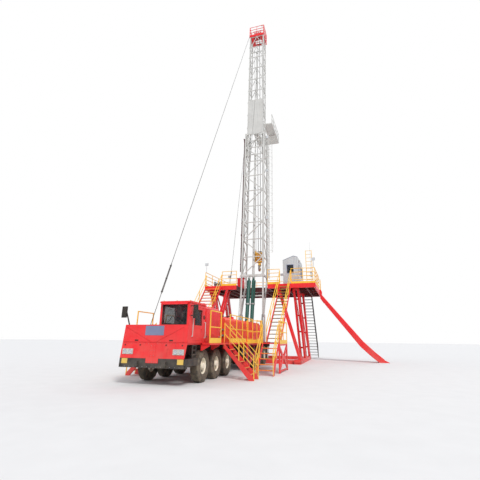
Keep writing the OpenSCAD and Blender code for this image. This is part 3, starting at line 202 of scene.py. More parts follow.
def pane(name, colour, clear):
    """Smeared glass or a lamp's lens."""
    s = Shade(name)
    smear = s.band(s.noise(4, 5), 0.45, 0.75, 0.35)
    s.finish(
        Base_Color=s.mix(smear, (*colour, 1), (0.3, 0.3, 0.28, 1)),
        Roughness=s.band(smear, -0.2, 1.2, 0.5),
        IOR=1.5,
        Alpha=clear,
    )


paint("chassis_paint", (0.012, 0.011, 0.012), 0.5, dust=0.22, chips=0.2)
paint("red_paint", (0.82, 0.016, 0.02), 0.32, dust=0.2)
paint("orange_paint", (0.88, 0.06, 0.022), 0.34, dust=0.15)
paint("yellow_paint", (0.95, 0.55, 0.045), 0.4, chips=0.6, dust=0.25)
paint("white_paint", (0.58, 0.57, 0.535), 0.45, chips=0.8, dust=0.3, streak=0.45)
paint("green_paint", (0.008, 0.085, 0.06), 0.3, chips=0.3, dust=0.2)
metal("chrome_rod", (0.7, 0.7, 0.72), 0.1, (1, 1, 0.1), 0.25)
metal("machined_steel", (0.34, 0.33, 0.32), 0.35)
paint("galvanised", (0.6, 0.62, 0.62), 0.42, 0.25, 0.4, 0.2, 0.5, (0.2, 0.18, 0.16, 1))
metal("wire_rope", (0.16, 0.15, 0.14), 0.5, (1, 1, 1), 0.6)
pane("glass", (0.015, 0.02, 0.022), 0.4)
pane("lamp_lens", (0.75, 0.76, 0.75), 0.45)
rubber("seat_vinyl", (0.03, 0.03, 0.033), 0.15)
rubber("black_plastic", (0.01, 0.01, 0.011), 0.08)
rubber("tyre", (0.035, 0.031, 0.027))
paint("rim_paint", (0.92, 0.86, 0.7), 0.45, chips=0.4, dust=0.25)
pane("amber_lens", (0.75, 0.5, 0.1), 0.9)
paint("plate_blue", (0.2, 0.23, 0.36), 0.35, 0.2, 0.2, 0.1, 0.2)
# dark red: the own colour of several parts, and also a darker copy of red paint used as painted shade
# under the rig floor
paint("dark_red", (0.1, 0.012, 0.012), 0.55, dust=0.3)

# the record's slot for the finishes that are not slots themselves
SLOT_OF = {
    "rim_paint": "white_paint",
    "amber_lens": "lamp_lens",
    "plate_blue": "galvanised",
    "dark_red": "red_paint",
}

for part in frame["record"]["subparts"]:
    data = nodes[part["node"]].data
    data.materials.clear()
    data.materials.append(MATERIALS[part["material_slot"]])


# Pieces
class Piece:
    """Collects simple solids in one mesh, and rides it on a body. place moves all that is added."""

    def __init__(self, name, finish, body="carrier", place=Matrix.Identity(4)):
        self.name, self.finish, self.body, self.place = name, finish, body, place
        self.bm = bmesh.new()

    def box(self, low, high, at=Matrix.Identity(4)):
        low, high = Vector(low), Vector(high)
        matrix = Matrix.Translation((low + high) / 2) @ Matrix.Diagonal((*(high - low), 1))
        bmesh.ops.create_cube(self.bm, size=1, matrix=self.place @ at @ matrix)

    def row(self, count, step, low, high):
        """Copies of the box from low to high, each a step further on."""
        for k in range(count):
            shift = Vector(step) * k
            self.box(Vector(low) + shift, Vector(high) + shift)

    def rod(self, start, end, r, sides=12, r2=None):
        start, end = self.place @ Vector(start), self.place @ Vector(end)
        along = end - start
        turn = along.to_track_quat("Z", "Y").to_matrix().to_4x4()
        bmesh.ops.create_cone(
            self.bm, cap_ends=True, segments=sides, radius1=r, radius2=r if r2 is None else r2,
            depth=along.length, matrix=Matrix.Translation((start + end) / 2) @ turn,
        )

    def rod_x(self, y, z, x0, x1, *size):
        self.rod((x0, y, z), (x1, y, z), *size)

    def rod_y(self, x, z, y0, y1, *size):
        self.rod((x, y0, z), (x, y1, z), *size)

    def rod_z(self, x, y, z0, z1, *size):
        self.rod((x, y, z0), (x, y, z1), *size)

    def path(self, points, r, sides=10):
        for a, b in zip(points, points[1:]):
            self.rod(a, b, r, sides)
        for p in points[1:-1]:
            at = Matrix.Translation(self.place @ Vector(p))
            bmesh.ops.create_uvsphere(self.bm, u_segments=sides, v_segments=6, radius=r, matrix=at)

    def spin(self, profile, sides=72, at=Matrix.Identity(4), keep=lambda i, k: True):
        """Turns a closed outline of (x, r) pairs about the X axis."""
        rings = []
        for k in range(sides):
            a = 2 * math.pi * k / sides
            points = [(x, r * math.cos(a), r * math.sin(a)) for x, r in profile]
            rings.append([self.bm.verts.new(p) for p in points])
        for k, i in itertools.product(range(sides), range(len(profile))):
            row, after, j = rings[k], rings[(k + 1) % sides], (i + 1) % len(profile)
            if keep(i, k):
                self.bm.faces.new((row[i], row[j], after[j], after[i]))
        verts = [v for row in rings for v in row]
        bmesh.ops.transform(self.bm, matrix=self.place @ at, verts=verts)

    def done(self, smooth=False, bevel=0.0, ride=True):
        bmesh.ops.recalc_face_normals(self.bm, faces=self.bm.faces)
        mesh = bpy.data.meshes.new(self.name)
        self.bm.to_mesh(mesh)
        self.bm.free()
        mesh.materials.append(MATERIALS[self.finish])
        obj = bpy.data.objects.new(self.name, mesh)
        bpy.context.scene.collection.objects.link(obj)
        if smooth:
            mesh.shade_smooth()
            mesh.set_sharp_from_angle(angle=math.radians(38))
        if bevel:
            cut = obj.modifiers.new("edges", "BEVEL")
            cut.width, cut.segments, cut.limit_method = bevel, 2, "ANGLE"
        SLOT_OF.get(self.finish, self.finish)
        if ride:
            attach(obj, self.body)
        return obj


# Camera, ground and light
def set_camera():
    """The photograph's viewpoint, found from known sizes of the rig."""
    data = bpy.data.cameras.new("view")
    data.lens, data.sensor_width, data.sensor_fit = 24.965, 36.0, "HORIZONTAL"
    data.shift_x, data.shift_y = -0.00805, -0.03975
    data.clip_end = 400
    camera = bpy.data.objects.new("view", data)
    camera.matrix_world = Matrix.Translation((7.085, -28.941, 1.666))
    for degrees, axis in ((16.58, "Z"), (90 + 19.557, "X"), (0.629, "Z")):  # yaw, pitch and roll
        camera.matrix_world @= Matrix.Rotation(math.radians(degrees), 4, axis)
    bpy.context.scene.collection.objects.link(camera)
    bpy.context.scene.camera = camera


def set_ground():
    """A pale disc under the rig."""
    ground = Shade("ground")
    patches = ground.band(ground.noise(1.5, 4), 0.3, 0.7)
    shade = ground.mix(patches, (0.79, 0.78, 0.76, 1), (0.765, 0.755, 0.735, 1))
    ground.finish(Base_Color=shade, Roughness=0.9)
    bpy.ops.mesh.primitive_circle_add(
        vertices=96, radius=260, fill_type="NGON", location=(0, 0, -0.002)
    )
    floor = bpy.context.object
    floor.name = "floor_plane"
    floor.data.materials.append(MATERIALS["ground"])


def set_lamps():
    """Three wide suns: name, turn in degrees, strength and angular width."""
    for name, turn, strength, angle in (
        ("key_sun", (52, 0, 38), 2.3, 14),
        ("fill_sun", (60, 0, -70), 0.7, 60),
        ("back_sun", (55, 0, 165), 0.6, 60),
    ):
        sun = bpy.data.lights.new(name, "SUN")
        sun.energy, sun.angle = strength, math.radians(angle)
        obj = bpy.data.objects.new(name, sun)
        obj.rotation_euler = [math.radians(t) for t in turn]
        bpy.context.scene.collection.objects.link(obj)


def set_world():
    """A bluish light from all round, which the camera and clear glass see as white."""
    world = bpy.data.worlds.new("studio")
    world.use_nodes = True
    bpy.context.scene.world = world
    tree = world.node_tree
    plain, seen = tree.nodes["Background"], tree.nodes.new("ShaderNodeBackground")
    plain.inputs["Color"].default_value = (0.86, 0.9, 1.0, 1)
    plain.inputs["Strength"].default_value = 0.55
    seen.inputs["Color"].default_value = (1, 1, 1, 1)
    rays, either = tree.nodes.new("ShaderNodeLightPath"), tree.nodes.new("ShaderNodeMath")
    blend = tree.nodes.new("ShaderNodeMixShader")
    either.operation = "MAXIMUM"
    for source, target in (
        (rays.outputs["Is Camera Ray"], either.inputs[0]),
        (rays.outputs["Is Transmission Ray"], either.inputs[1]),
        (either.outputs[0], blend.inputs[0]),
        (plain.outputs[0], blend.inputs[1]),
        (seen.outputs[0], blend.inputs[2]),
        (blend.outputs[0], tree.nodes["World Output"].inputs["Surface"]),
    ):
        tree.links.new(source, target)
    bpy.context.scene.view_settings.view_transform = "Standard"


set_camera()
set_ground()
set_lamps()
set_world()


# Colours within one node
def recolour(node, finish, chosen):
    """Gives the faces whose centre is chosen another finish."""
    data = nodes[node].data
    data.materials.append(MATERIALS[finish])
    for face in data.polygons:
        if chosen(face.center):
            face.material_index = len(data.materials) - 1


# flights of stairs: y and z at the foot, y and z at the top
MAIN_STAIR = (-7.89, DECK_Z, -2.7, FLOOR_Z)
LOW_STAIR = (-11.8, 0.0, -10.3, DECK_Z)
RIGHT_STAIR = (-7.9, 0.0, -2.7, FLOOR_Z)


def above(p, flight, margin=0.12):
    """Whether p is a margin above the line of a flight's treads."""
    y0, z0, y1, z1 = flight
    return p.z > z0 + (p.y - y0) / (y1 - y0) * (z1 - z0) + margin


def on_stair_rail(p):
    """Whether p is on a rail of the stairs in front of the floor, which are yellow above the treads."""
    if p.y > 3.6:
        return False
    if p.x < 0:
        return above(p, RIGHT_STAIR)
    if p.y > -7.85:
        return above(p, MAIN_STAIR)
    if p.y > -10.32:
        return p.z > DECK_Z + 0.005
    return above(p, LOW_STAIR)


# the floor frame's faces below the deck, which take dark red as painted shade
def under_floor_shaded(p):
    return -3.95 < p.x < 4.9 and -2.6 < p.y < 3.5 and p.z < FLOOR_Z - 0.03


recolour("floor_stairs", "dark_red", lambda p: 2.35 < p.x < 3.15 and -7.85 < p.y < -2.72)
recolour("floor_stairs", "yellow_paint", on_stair_rail)
recolour("floor_stairs", "chassis_paint", lambda p: p.y > 3.6)
recolour("carrier_stairs", "yellow_paint", lambda p: p.z > DECK_Z * (3.15 - abs(p.x)) / 1.4 + 0.13)
# painted shade: the floor frame under the deck is made dark red
recolour("floor_frame", "dark_red", under_floor_shaded)
recolour("mast_ladder", "white_paint", lambda p: True)
recolour("lamps", "white_paint", lambda p: p.z > 1.0 and p.y > NOSE_Y - 0.0235)
recolour("lamps", "amber_lens", lambda p: p.z < 1.0)


# Wheels
TYRE_R, RIM_R = 0.625, 0.31


def around(count, r, turn=0.0):
    """Points of a circle, as pairs."""
    for k in range(count):
        a = 2 * math.pi * k / count + turn
        yield r * math.cos(a), r * math.sin(a)


def tread_block(piece, xs, angles, skew, radii):
    """One block of a rib: its top and four sides."""
    corners = []
    for r in radii:
        for x, t in zip((*xs, *reversed(xs)), (angles[0], angles[0] + skew, angles[1] + skew, angles[1])):
            corners.append(piece.bm.verts.new((x, r * math.cos(t), r * math.sin(t))))
    lower, upper = corners[:4], corners[4:]
    piece.bm.faces.new(upper)
    for m in range(4):
        n = (m + 1) % 4
        piece.bm.faces.new((lower[m], lower[n], upper[n], upper[m]))


def tyre_into(piece, centre, width, ribs, blocks=60):
    """A carcass with rounded shoulders, and ribs cut into blocks with slanted sipes."""
    h = width / 2
    wall = [
        (h - 0.07, RIM_R - 0.004), (h - 0.03, RIM_R + 0.018), (h - 0.012, RIM_R + 0.045),
        (h - 0.001, RIM_R + 0.1), (h, RIM_R + 0.14), (h - 0.008, RIM_R + 0.19),
        (h - 0.02, TYRE_R - 0.075), (h - 0.03, TYRE_R - 0.045), (h - 0.055, TYRE_R - 0.02),
    ]
    piece.spin([(centre + x, r) for x, r in wall] + [(centre - x, r) for x, r in reversed(wall)])
    tread = width - 0.09
    pitch = 2 * math.pi / blocks
    for i in range(ribs):
        x0 = centre - tread / 2 + i * tread / ribs + 0.006
        xs = (x0, x0 + tread / ribs - 0.012)
        outer = TYRE_R - (0.006 if i in (0, ribs - 1) else 0.0)
        for k in range(blocks):
            a = pitch * (k + 0.5 * (i % 2))
            skew = 0.012 if i % 2 else -0.012
            tread_block(piece, xs, (a, a + pitch * 0.8), skew, (TYRE_R - 0.028, outer))


def rim_into(piece, centre, width, disc, inward, holes=8, sides=96):
    """A barrel with a rolled lip, a dished disc with hand holes, a hub and its nuts."""
    e, f = centre + width / 2 - 0.062, centre - width / 2 + 0.062
    barrel = [
        (e, RIM_R + 0.006), (e + 0.006, RIM_R - 0.004), (e - 0.008, RIM_R - 0.014),
        (e - 0.05, RIM_R - 0.024), (f + 0.003, RIM_R - 0.024), (f, RIM_R + 0.004),
        (f + 0.028, RIM_R - 0.008), (e - 0.04, RIM_R - 0.008),
    ]
    piece.spin(barrel, sides)
    gap = sides // holes
    reach = disc + inward * 0.02
    dish = [(disc - inward * 0.03, RIM_R - 0.02), (disc, RIM_R - 0.06), (disc, 0.18), (reach, 0.12)]
    back = [(x - 0.012, r) for x, r in reversed(dish)]
    piece.spin(dish + back, sides, keep=lambda i, k: not (i in (1, 5) and k % gap < gap * 0.45))
    hub = ((-0.03, 0.135), (0.1, 0.118), (0.125, 0.09), (0.125, 0.0), (-0.03, 0.0))
    piece.spin([(reach + x, r) for x, r in hub], 48)
    for y, z in around(10, 0.128 * 1.12):
        piece.rod_x(y, z, reach - 0.02, reach + 0.012, 0.012, 6)


def wheel_meshes():
    """The meshes of one front wheel and one twin, by kind and part."""
    twin_out = HALF_W - 0.02 - 0.1575
    plans = {"front": [(0.0, 0.39)], "twin": [(twin_out, 0.315), (twin_out - 0.365, 0.315)]}
    meshes = {}
    for kind, tyres in plans.items():
        parts = {"tyre": Piece(kind + "_tyre", "tyre"), "rim": Piece(kind + "_rim", "rim_paint")}
        for centre, width in tyres:
            tyre_into(parts["tyre"], centre, width, 5 if kind == "front" else 4)
        centre, width = tyres[0]
        if kind == "front":
            rim_into(parts["rim"], centre, width, 0.045, 1)
        else:
            rim_into(parts["rim"], centre, width, centre - 0.09, -1)
            rim_into(parts["rim"], tyres[1][0], width, tyres[1][0] + 0.11, 1)
        for key, piece in parts.items():
            obj = piece.done(smooth=True, ride=False)
            meshes[kind, key] = obj.data
            bpy.data.objects.remove(obj)
    return meshes


def make_wheels():
    """All twelve wheels, which share the meshes of two, each turned by chance."""
    meshes = wheel_meshes()
    for index, y in enumerate(FRONT_AXLES + REAR_AXLES):
        kind = "front" if index < 3 else "twin"
        for side, sign in (("l", 1), ("r", -1)):
            tag = f"{index + 1}{side}"
            place = Matrix.Translation((1.18 * sign if kind == "front" else 0.0, y, AXLE_Z))
            if sign < 0:
                place = place @ Matrix.Rotation(math.pi, 4, "Z")
            place = place @ Matrix.Rotation(rng.uniform(0, 1), 4, "X")
            for key, slot in (("tyre", "tyre"), ("rim", "white_paint")):
                obj = bpy.data.objects.new(f"{key}_{tag}", meshes[kind, key])
                obj.matrix_world = place
                bpy.context.scene.collection.objects.link(obj)
                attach(obj, f"wheel_{tag}")
                if key == "tyre":
                    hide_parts(f"wheel_{tag}")


make_wheels()


# Shared shapes
def spot(axis, at, u, v):
    """The point u, v of the plane axis = at."""
    return {"x": (at, u, v), "y": (u, at, v), "z": (u, v, at)}[axis]


def plate(piece, axis, at, thick, low, high):
    """A flat plate on the plane axis = at, on the side that thick's sign says."""
    piece.box(spot(axis, at, *low), spot(axis, at + thick, *high))


def ring(piece, axis, at, thick, low, high, w):
    """A rectangular frame round an opening."""
    u0, u1 = sorted((low[0], high[0]))
    v0, v1 = low[1], high[1]
    plate(piece, axis, at, thick, (u0 - w, v0 - w), (u1 + w, v0))
    plate(piece, axis, at, thick, (u0 - w, v1), (u1 + w, v1 + w))
    plate(piece, axis, at, thick, (u0 - w, v0), (u0, v1))
    plate(piece, axis, at, thick, (u1, v0), (u1 + w, v1))


def bolt_row(piece, axis, at, out, start, end, count, r=0.012, head=0.012):
    """Bolt heads on the plane axis = at, from start to end."""
    for k in range(count):
        u, v = Vector(start).lerp(Vector(end), k / max(1, count - 1))
        piece.rod(spot(axis, at, u, v), spot(axis, at + out * head, u, v), r, 6)


def bolted_panel(sheet, bolts, axis, at, thick, low, high, inset=0.035, step=0.22):
    """A cover plate with a row of bolts along each long edge."""
    plate(sheet, axis, at, thick, low, high)
    count = max(2, round((high[0] - low[0]) / step) + 1)
    for v in (low[1] + inset, high[1] - inset):
        ends = (low[0] + inset, v), (high[0] - inset, v)
        bolt_row(bolts, axis, at + thick, math.copysign(1, thick), *ends, count)


def grab(piece, a, b, out, r=0.014, sides=10):
    """A bent handle that stands off a surface between two points."""
    a, b, out = Vector(a), Vector(b), Vector(out)
    piece.path([a, a + out, b + out, b], r, sides)


def lamp(boxes, glow, x, front, back, low, high, half, rim=0.02, thick=0.008):
    """A lamp's box from front to back, and the glass on its front."""
    boxes.box((x - half, front, low), (x + half, back, high))
    out, inner = math.copysign(thick, front - back), half - 0.02
    plate(glow, "y", front, out, (x - inner, low + rim), (x + inner, high - rim))


# Places for what is spun: the outline's X then points along X, Y or Z
def facing_x(x, y, z):
    return Matrix.Translation((x, y, z))


def facing_y(x, y, z):
    return Matrix.Translation((x, y, z)) @ Matrix.Rotation(math.pi / 2, 4, "Z")


def facing_up(x, y, z):
    return Matrix.Translation((x, y, z)) @ Matrix.Rotation(-math.pi / 2, 4, "Y")


# Nose and bumper
SEAM_Z, HOOD_Z, LAMP_Z = 1.52, 2.15, 1.185
NOSE_X, NOSE_FACE = (-1.29, 1.39), NOSE_Y + SEAT


def make_head_lamps():
    """Rims and bowls of the four head lamps, with a frame round each pair."""
    trim, glow = Piece("lamp_rims", "white_paint"), Piece("lamp_bowls", "chrome_rod")
    rim = [(-0.026, 0.072), (-0.034, 0.08), (-0.024, 0.09), (-0.012, 0.092), (-0.012, 0.072)]
    bowl = [(-0.025, 0.0), (-0.026, 0.03), (-0.0245, 0.071), (-0.0241, 0.071), (-0.0241, 0.0)]
    for side in SIDES:
        for x in (0.965, 1.185):
            trim.spin(rim, 40, facing_y(side * x, NOSE_Y, LAMP_Z))
            glow.spin(bowl, 40, facing_y(side * x, NOSE_Y, LAMP_Z))
        ring(trim, "y", NOSE_FACE, -0.016, (side * 0.86, 1.1), (side * 1.29, 1.27), 0.014)
    trim.done(smooth=True)
    glow.done(smooth=True)


def make_blank_plate():
    """The plain plate on the nose, with nothing written on it."""
    blank = Piece("blank_plate", "plate_blue")
    plate(blank, "y", NOSE_FACE, -0.008, (-0.39, 1.77), (0.41, 2.12))
    blank.done(bevel=0.003)


def make_nose_trim():
    """Folded edges, creases, slot frames, rows of bolts, and the hood's lids with their hinges."""
    body, bolts = Piece("nose_trim", "red_paint"), Piece("nose_bolts", "machined_steel")
    # folded edges along the seam, the top and the taper
    for z in (SEAM_Z - 0.016, SEAM_Z + 0.016):
        plate(body, "y", NOSE_FACE, -0.006, (-1.32, z - 0.006), (1.38, z + 0.006))
    body.rod_x(NOSE_Y + 0.012, HOOD_Z - 0.002, *NOSE_X, 0.014)
    body.rod_z(NOSE_X[1] - 0.002, NOSE_Y + 0.012, SEAM_Z, HOOD_Z - 0.01, 0.012)
    for side in SIDES:
        body.rod((side * 1.2, NOSE_Y, 2.06), (side * 0.12, NOSE_Y, 1.55), 0.006, 8)
        body.rod_z(side * 0.12, NOSE_Y, 1.49, 1.02, 0.005, 8)
        slot = (0.61, 0.72) if side > 0 else (-0.79, -0.68)
        ring(body, "y", NOSE_FACE, -0.005, (slot[0], 1.1), (slot[1], 1.27), 0.01)
        bolt_row(bolts, "y", NOSE_FACE, -1, (side * 0.2, 1.47), (side * 1.3, 1.47), 7, 0.009)
        bolt_row(bolts, "y", NOSE_FACE, -1, (side * 0.06, 1.05), (side * 0.06, 1.4), 3, 0.009)
    bolt_row(bolts, "y", NOSE_Y - 0.012, -1, (-0.22, 0.83), (0.22, 0.83), 5, 0.014)
    bolt_row(bolts, "y", NOSE_Y, -1, (-1.34, 0.66), (1.34, 0.66), 15, 0.014)
    # lids of the low hood, and their hinges
    for left, y0, y1 in ((-1.24, -16.9, -16.22), (-1.24, -15.98, -15.5), (-0.68, -16.2, -16.0)):
        plate(body, "z", HOOD_Z, 0.008, (left, y0), (0.1, y1))
    for y in (-16.75, -16.4, -15.85, -15.6):
        bolts.rod_y(0.115, HOOD_Z + 0.008, y - 0.05, y + 0.05, 0.011, 10)
    body.done(bevel=0.002)
    bolts.done()


def make_nose_dark():
    """Grab slots, knobs, the right side's grille, rubber blocks and the lids' handles."""
    dark = Piece("nose_dark", "black_plastic")
    knob = [(-0.022, 0.0), (-0.022, 0.018), (-0.012, 0.026), (0, 0.02), (0, 0.0)]
    for side in SIDES:
        x = side * 0.74
        plate(dark, "y", NOSE_FACE, -0.004, (x - 0.075, 1.565), (x + 0.075, 1.61))
        grab(dark, (x - 0.055, NOSE_Y, 1.588), (x + 0.055, NOSE_Y, 1.588), (0, -0.02, 0), 0.007)
        for knob_x in (1.22, 0.55):
            dark.spin(knob, 20, facing_y(side * knob_x, NOSE_Y, 1.42))
        plate(dark, "y", NOSE_Y, -0.02, (side * 1.36 - 0.03, 0.64), (side * 1.36 + 0.03, 0.74))
    # the grille follows the taper of the nose
    for i in range(6):
        z = 1.03 + i * 0.065
        plate(dark, "x", -1.3985 + 0.083 * (z - 0.95), -0.006, (-16.9, z), (-16.5, z + 0.02))
    for y in (-16.3, -15.6):
        grab(dark, (-0.6, y, HOOD_Z + 0.008), (-0.45, y, HOOD_Z + 0.008), (0, 0, 0.03), 0.008)
    dark.done(smooth=True)


# Cab
CAB_X, CAB_Y, CAB_TOP = (0.15, 1.4), (-16.95, -15.4), 3.05
DOOR_Y, DOOR_GLASS_Z = (-16.4, -15.76), (2.19, 2.75)
PORT = (-15.52, 2.5)  # y and z of the round port


def make_cab_gaskets():
    """Gaskets round the windows and the round port, and the wipers."""
    gasket = Piece("cab_gaskets", "black_plastic")
    for axis, at, thick, low, high, w in (
        ("y", CAB_Y[0], -0.012, (0.275, 2.195), (1.275, 2.915), 0.03),
        ("x", CAB_X[0], -0.01, (-16.665, 2.255), (-15.715, 2.875), 0.028),
        ("y", CAB_Y[1], 0.01, (0.415, 2.295), (1.135, 2.855), 0.028),
    ):
        ring(gasket, axis, at, thick, low, high, w)
    port_rim = [(0.0, 0.062), (0.014, 0.066), (0.016, 0.078), (0.0, 0.084)]
    gasket.spin(port_rim, 40, facing_x(CAB_X[1], *PORT))
    # wipers: foot, arm and blade
    foot = [(-0.03, 0.0), (-0.03, 0.02), (0.0, 0.026), (0.0, 0.0)]
    for x, tip in ((0.5, 0.82), (0.98, 1.24)):
        gasket.spin(foot, 20, facing_y(x, CAB_Y[0] - 0.003, 2.168))
        gasket.rod((x, -16.978, 2.17), (x + (tip - x) * 0.55, -16.975, 2.44), 0.006, 8)
        gasket.rod((x + 0.02, -16.97, 2.24), (tip, -16.968, 2.64), 0.008, 8)
    gasket.done(smooth=True)


def make_cab_door():
    """The door's gasket, handle, glass and creases."""
    (y0, y1), (z0, z1) = DOOR_Y, DOOR_GLASS_Z
    door = Piece("door_gasket", "black_plastic", "cab_door")
    ring(door, "x", CAB_X[1], 0.009, (y0, z0), (y1, z1), 0.022)
    door.rod_y(1.393, 2.005, -15.76, -15.71, 0.009)
    door.rod_x(-15.7, 1.93, 1.396, 1.406, 0.012)
    ring(door, "x", CAB_X[1] - 0.05, -0.006, (y0, z0), (y1, z1), 0.02)
    door.done(smooth=True)
    glass = Piece("door_glass", "glass", "cab_door")
    plate(glass, "x", CAB_X[1] - 0.022, 0.005, (y0 - 0.009, z0 - 0.009), (y1 + 0.009, z1 + 0.009))
    glass.done()
    crease = Piece("door_creases", "red_paint", "cab_door")
    crease_y, crease_z = (-16.48, -15.82), (1.72, 2.1)
    for z in crease_z:
        crease.rod_y(CAB_X[1] + 0.001, z, *crease_y, 0.005, 8)
    for y in crease_y:
        crease.rod_z(CAB_X[1] + 0.001, y, *crease_z, 0.005, 8)
    crease.done()


def make_cab_trim():
    """The round port's glass, grab bars, the roof's edge and hatch, marker lamps, mirror glass."""
    port = Piece("round_port", "glass")
    port.rod_x(*PORT, CAB_X[1] - 0.005, CAB_X[1] + 0.003, 0.062, 32)
    port.done()

    bars = Piece("cab_bars", "white_paint")
    for y, low, high in ((-16.68, 1.75, 2.75), (-15.46, 1.7, 2.3)):
        grab(bars, (CAB_X[1], y, low), (CAB_X[1], y, high), (0.055, 0, 0))
    bars.done(smooth=True)
    roof = Piece("cab_roof_trim", "red_paint")
    edge_x, edge_z = (0.125, 1.425), 2.985
    for x in edge_x:
        roof.rod_y(x, edge_z, -16.96, -15.39, 0.013)
    roof.rod_x(-15.38, edge_z, *edge_x, 0.013)
    for x in (0.25, 0.62, 0.99, 1.3):
        roof.box((x - 0.012, -17.05, 2.915), (x + 0.012, -16.94, 2.975))
    plate(roof, "z", CAB_TOP, 0.012, (0.45, -16.5), (1.1, -15.8))
    roof.done(bevel=0.003)
    amber = Piece("roof_markers", "amber_lens")
    dome = [(0.03, 0.0), (0.028, 0.02), (0.018, 0.033), (0.0, 0.036), (0.0, 0.0)]
    for x in (0.2, 0.775, 1.35):
        amber.spin(dome, 24, facing_up(x, -16.82, CAB_TOP))
    amber.done(smooth=True)
    glassy = Piece("mirror_glass", "chrome_rod")
    plate(glassy, "y", -16.82, 0.004, (-1.63, 2.46), (-1.45, 2.86))
    plate(glassy, "y", -16.805, 0.004, (1.53, 2.42), (1.67, 2.88))
    glassy.done()


def make_dash():
    """The instrument box with its dials, the lever and the pedals."""
    dash = Piece("dash_parts", "black_plastic")
    dash.box((0.56, -16.66, 2.1), (1.0, -16.58, 2.22))
    dial = [(0.012, 0.0), (0.012, 0.03), (0.0, 0.034), (0.0, 0.0)]
    for k in range(4):
        dash.spin(dial, 20, facing_y(0.61 + k * 0.11, -16.58, 2.165))
    dash.path([(0.45, -16.2, 1.55), (0.45, -16.25, 1.95), (0.47, -16.2, 2.05)], 0.014)
    for x in (0.62, 0.72, 0.86):
        dash.box((x, -16.68, 1.62), (x + 0.06, -16.62, 1.74))
    dash.done(bevel=0.004)


# Engine housing and exhausts
HOUSE_X, HOUSE_Y, HOUSE_LOW, HOUSE_TOP = 1.39, (-15.2, -13.65), 1.61, 3.0
HOUSE_MID, HOUSE_BACK, STACK_X = -14.42, -13.55, 0.9
GRID_X, GRID_Z = (0.02, 1.3), (1.65, 2.85)  # the radiator's grid


def make_housing():
    """Slats on the low side, doors, lids and their frames, latches, hinges and lifting eyes."""
    slats, doors = Piece("housing_slats", "dark_red"), Piece("housing_doors", "red_paint")
    latches = Piece("housing_latches", "machined_steel")
    for i in range(3):
        at = facing_x(0.014 - HOUSE_X, HOUSE_MID, 1.85 + i * 0.13)
        turn = at @ Matrix.Rotation(-0.6, 4, "Y")
        slats.box((-0.002, -0.64, -0.03), (0.002, 0.64, 0.03), turn)
        slats.box((-0.012, -0.005, -0.03), (0.008, 0.005, 0.03), turn)
    for y0, y1 in ((-15.19, -14.44), (-14.4, HOUSE_Y[1])):
        plate(doors, "x", HOUSE_X - 0.005, 0.01, (y0, HOUSE_LOW), (y1, 2.85))
        for k in range(5):
            doors.rod_z(HOUSE_X + 0.006, y0 + 0.12 + k * 0.128, 1.7, 2.76, 0.006, 8)
    for side, top in ((-1, 2.16), (1, 2.86)):
        x = side * HOUSE_X
        low, high = (HOUSE_Y[0], HOUSE_LOW - 0.01), (HOUSE_Y[1] + 0.01, top)
        ring(doors, "x", x, side * 0.006, low, high, 0.035)
        for y in (HOUSE_MID - 0.74, HOUSE_MID + 0.72):
            plate(latches, "x", x, side * 0.012, (y - 0.03, 1.72), (y + 0.03, 1.79))
            latches.rod_x(y, 1.755, x + side * 0.012, x + side * 0.04, 0.012, 10)
        for y in (-15.0, -14.4, -13.85):
            latches.rod_y(x + side * 0.002, top + 0.045, y - 0.05, y + 0.05, 0.01, 10)
    for x0, x1 in ((0.0, 0.6), (0.66, 1.25)):
        for y0, y1 in ((HOUSE_Y[0], -14.65), (-14.4, HOUSE_Y[1])):
            plate(doors, "z", HOUSE_TOP, 0.006, (x0, y0), (x1, y1))
    plate(doors, "z", 2.2, 0.006, (-1.3, HOUSE_Y[0]), (-0.2, HOUSE_Y[1]))
    ring(doors, "y", HOUSE_BACK, 0.02, *zip(GRID_X, GRID_Z), 0.04)
    eye = ((-0.05, 0.0), (-0.04, 0.07), (0.04, 0.07), (0.05, 0.0))
    for y in (-15.15, -13.7):
        for x in (0.05, 1.2):
            latches.path([(x, y + dy, HOUSE_TOP + dz) for dy, dz in eye], 0.011)
    for piece, bevel in ((slats, 0), (doors, 0.002), (latches, 0)):
        piece.done(bevel=bevel)


def make_radiator():
    """The radiator's core behind a grid of upright and level bars."""
    screen = Piece("radiator_screen", "black_plastic")
    y = HOUSE_BACK
    plate(screen, "y", y, 0.004, *zip(GRID_X, GRID_Z))
    screen.row(32, (0.04, 0, 0), (0.04, y + 0.002, GRID_Z[0]), (0.048, y + 0.02, GRID_Z[1]))
    screen.row(9, (0, 0, 0.135), (GRID_X[0], y + 0.018, 1.72), (GRID_X[1], y + 0.024, 1.732))
    screen.done()


def make_exhausts():
    """Clamps, tips and elbows of the exhausts, and the pipes in the gap behind the housing."""
    pipes = Piece("exhaust_parts", "machined_steel")
    for y in (-13.37, -13.03):
        at = facing_up(STACK_X, y, 0)
        for z in (2.03, 2.35, 2.67):
            pipes.spin([(z, 0.119), (z, 0.126), (z + 0.035, 0.126), (z + 0.035, 0.119)], 32, at)
        pipes.spin([(2.93, 0.052), (2.95, 0.066), (2.965, 0.066), (2.965, 0.0), (2.955, 0.0)], 24, at)
        pipes.rod((STACK_X, y, 1.8), (STACK_X, y - 0.14, 1.68), 0.05, 16)
    runs = (
        (1.22, 1.72, 0.045), (1.1, 1.86, 0.035), (1.22, 2.0, 0.03),
        (0.55, 1.75, 0.05), (0.2, 1.95, 0.06), (-0.5, 1.8, 0.05),
    )
    for x, z, r in runs:
        pipes.path([(x, -13.54, z), (x, -13.1, z), (x, -12.85, z + 0.1), (x, -12.6, z + 0.1)], r, 12)
        for y, rise in ((-13.5, 0), (-12.66, 0.1)):
            pipes.rod_y(x, z + rise, y - 0.015, y + 0.015, r + 0.02, 12)
    pipes.done(smooth=True)


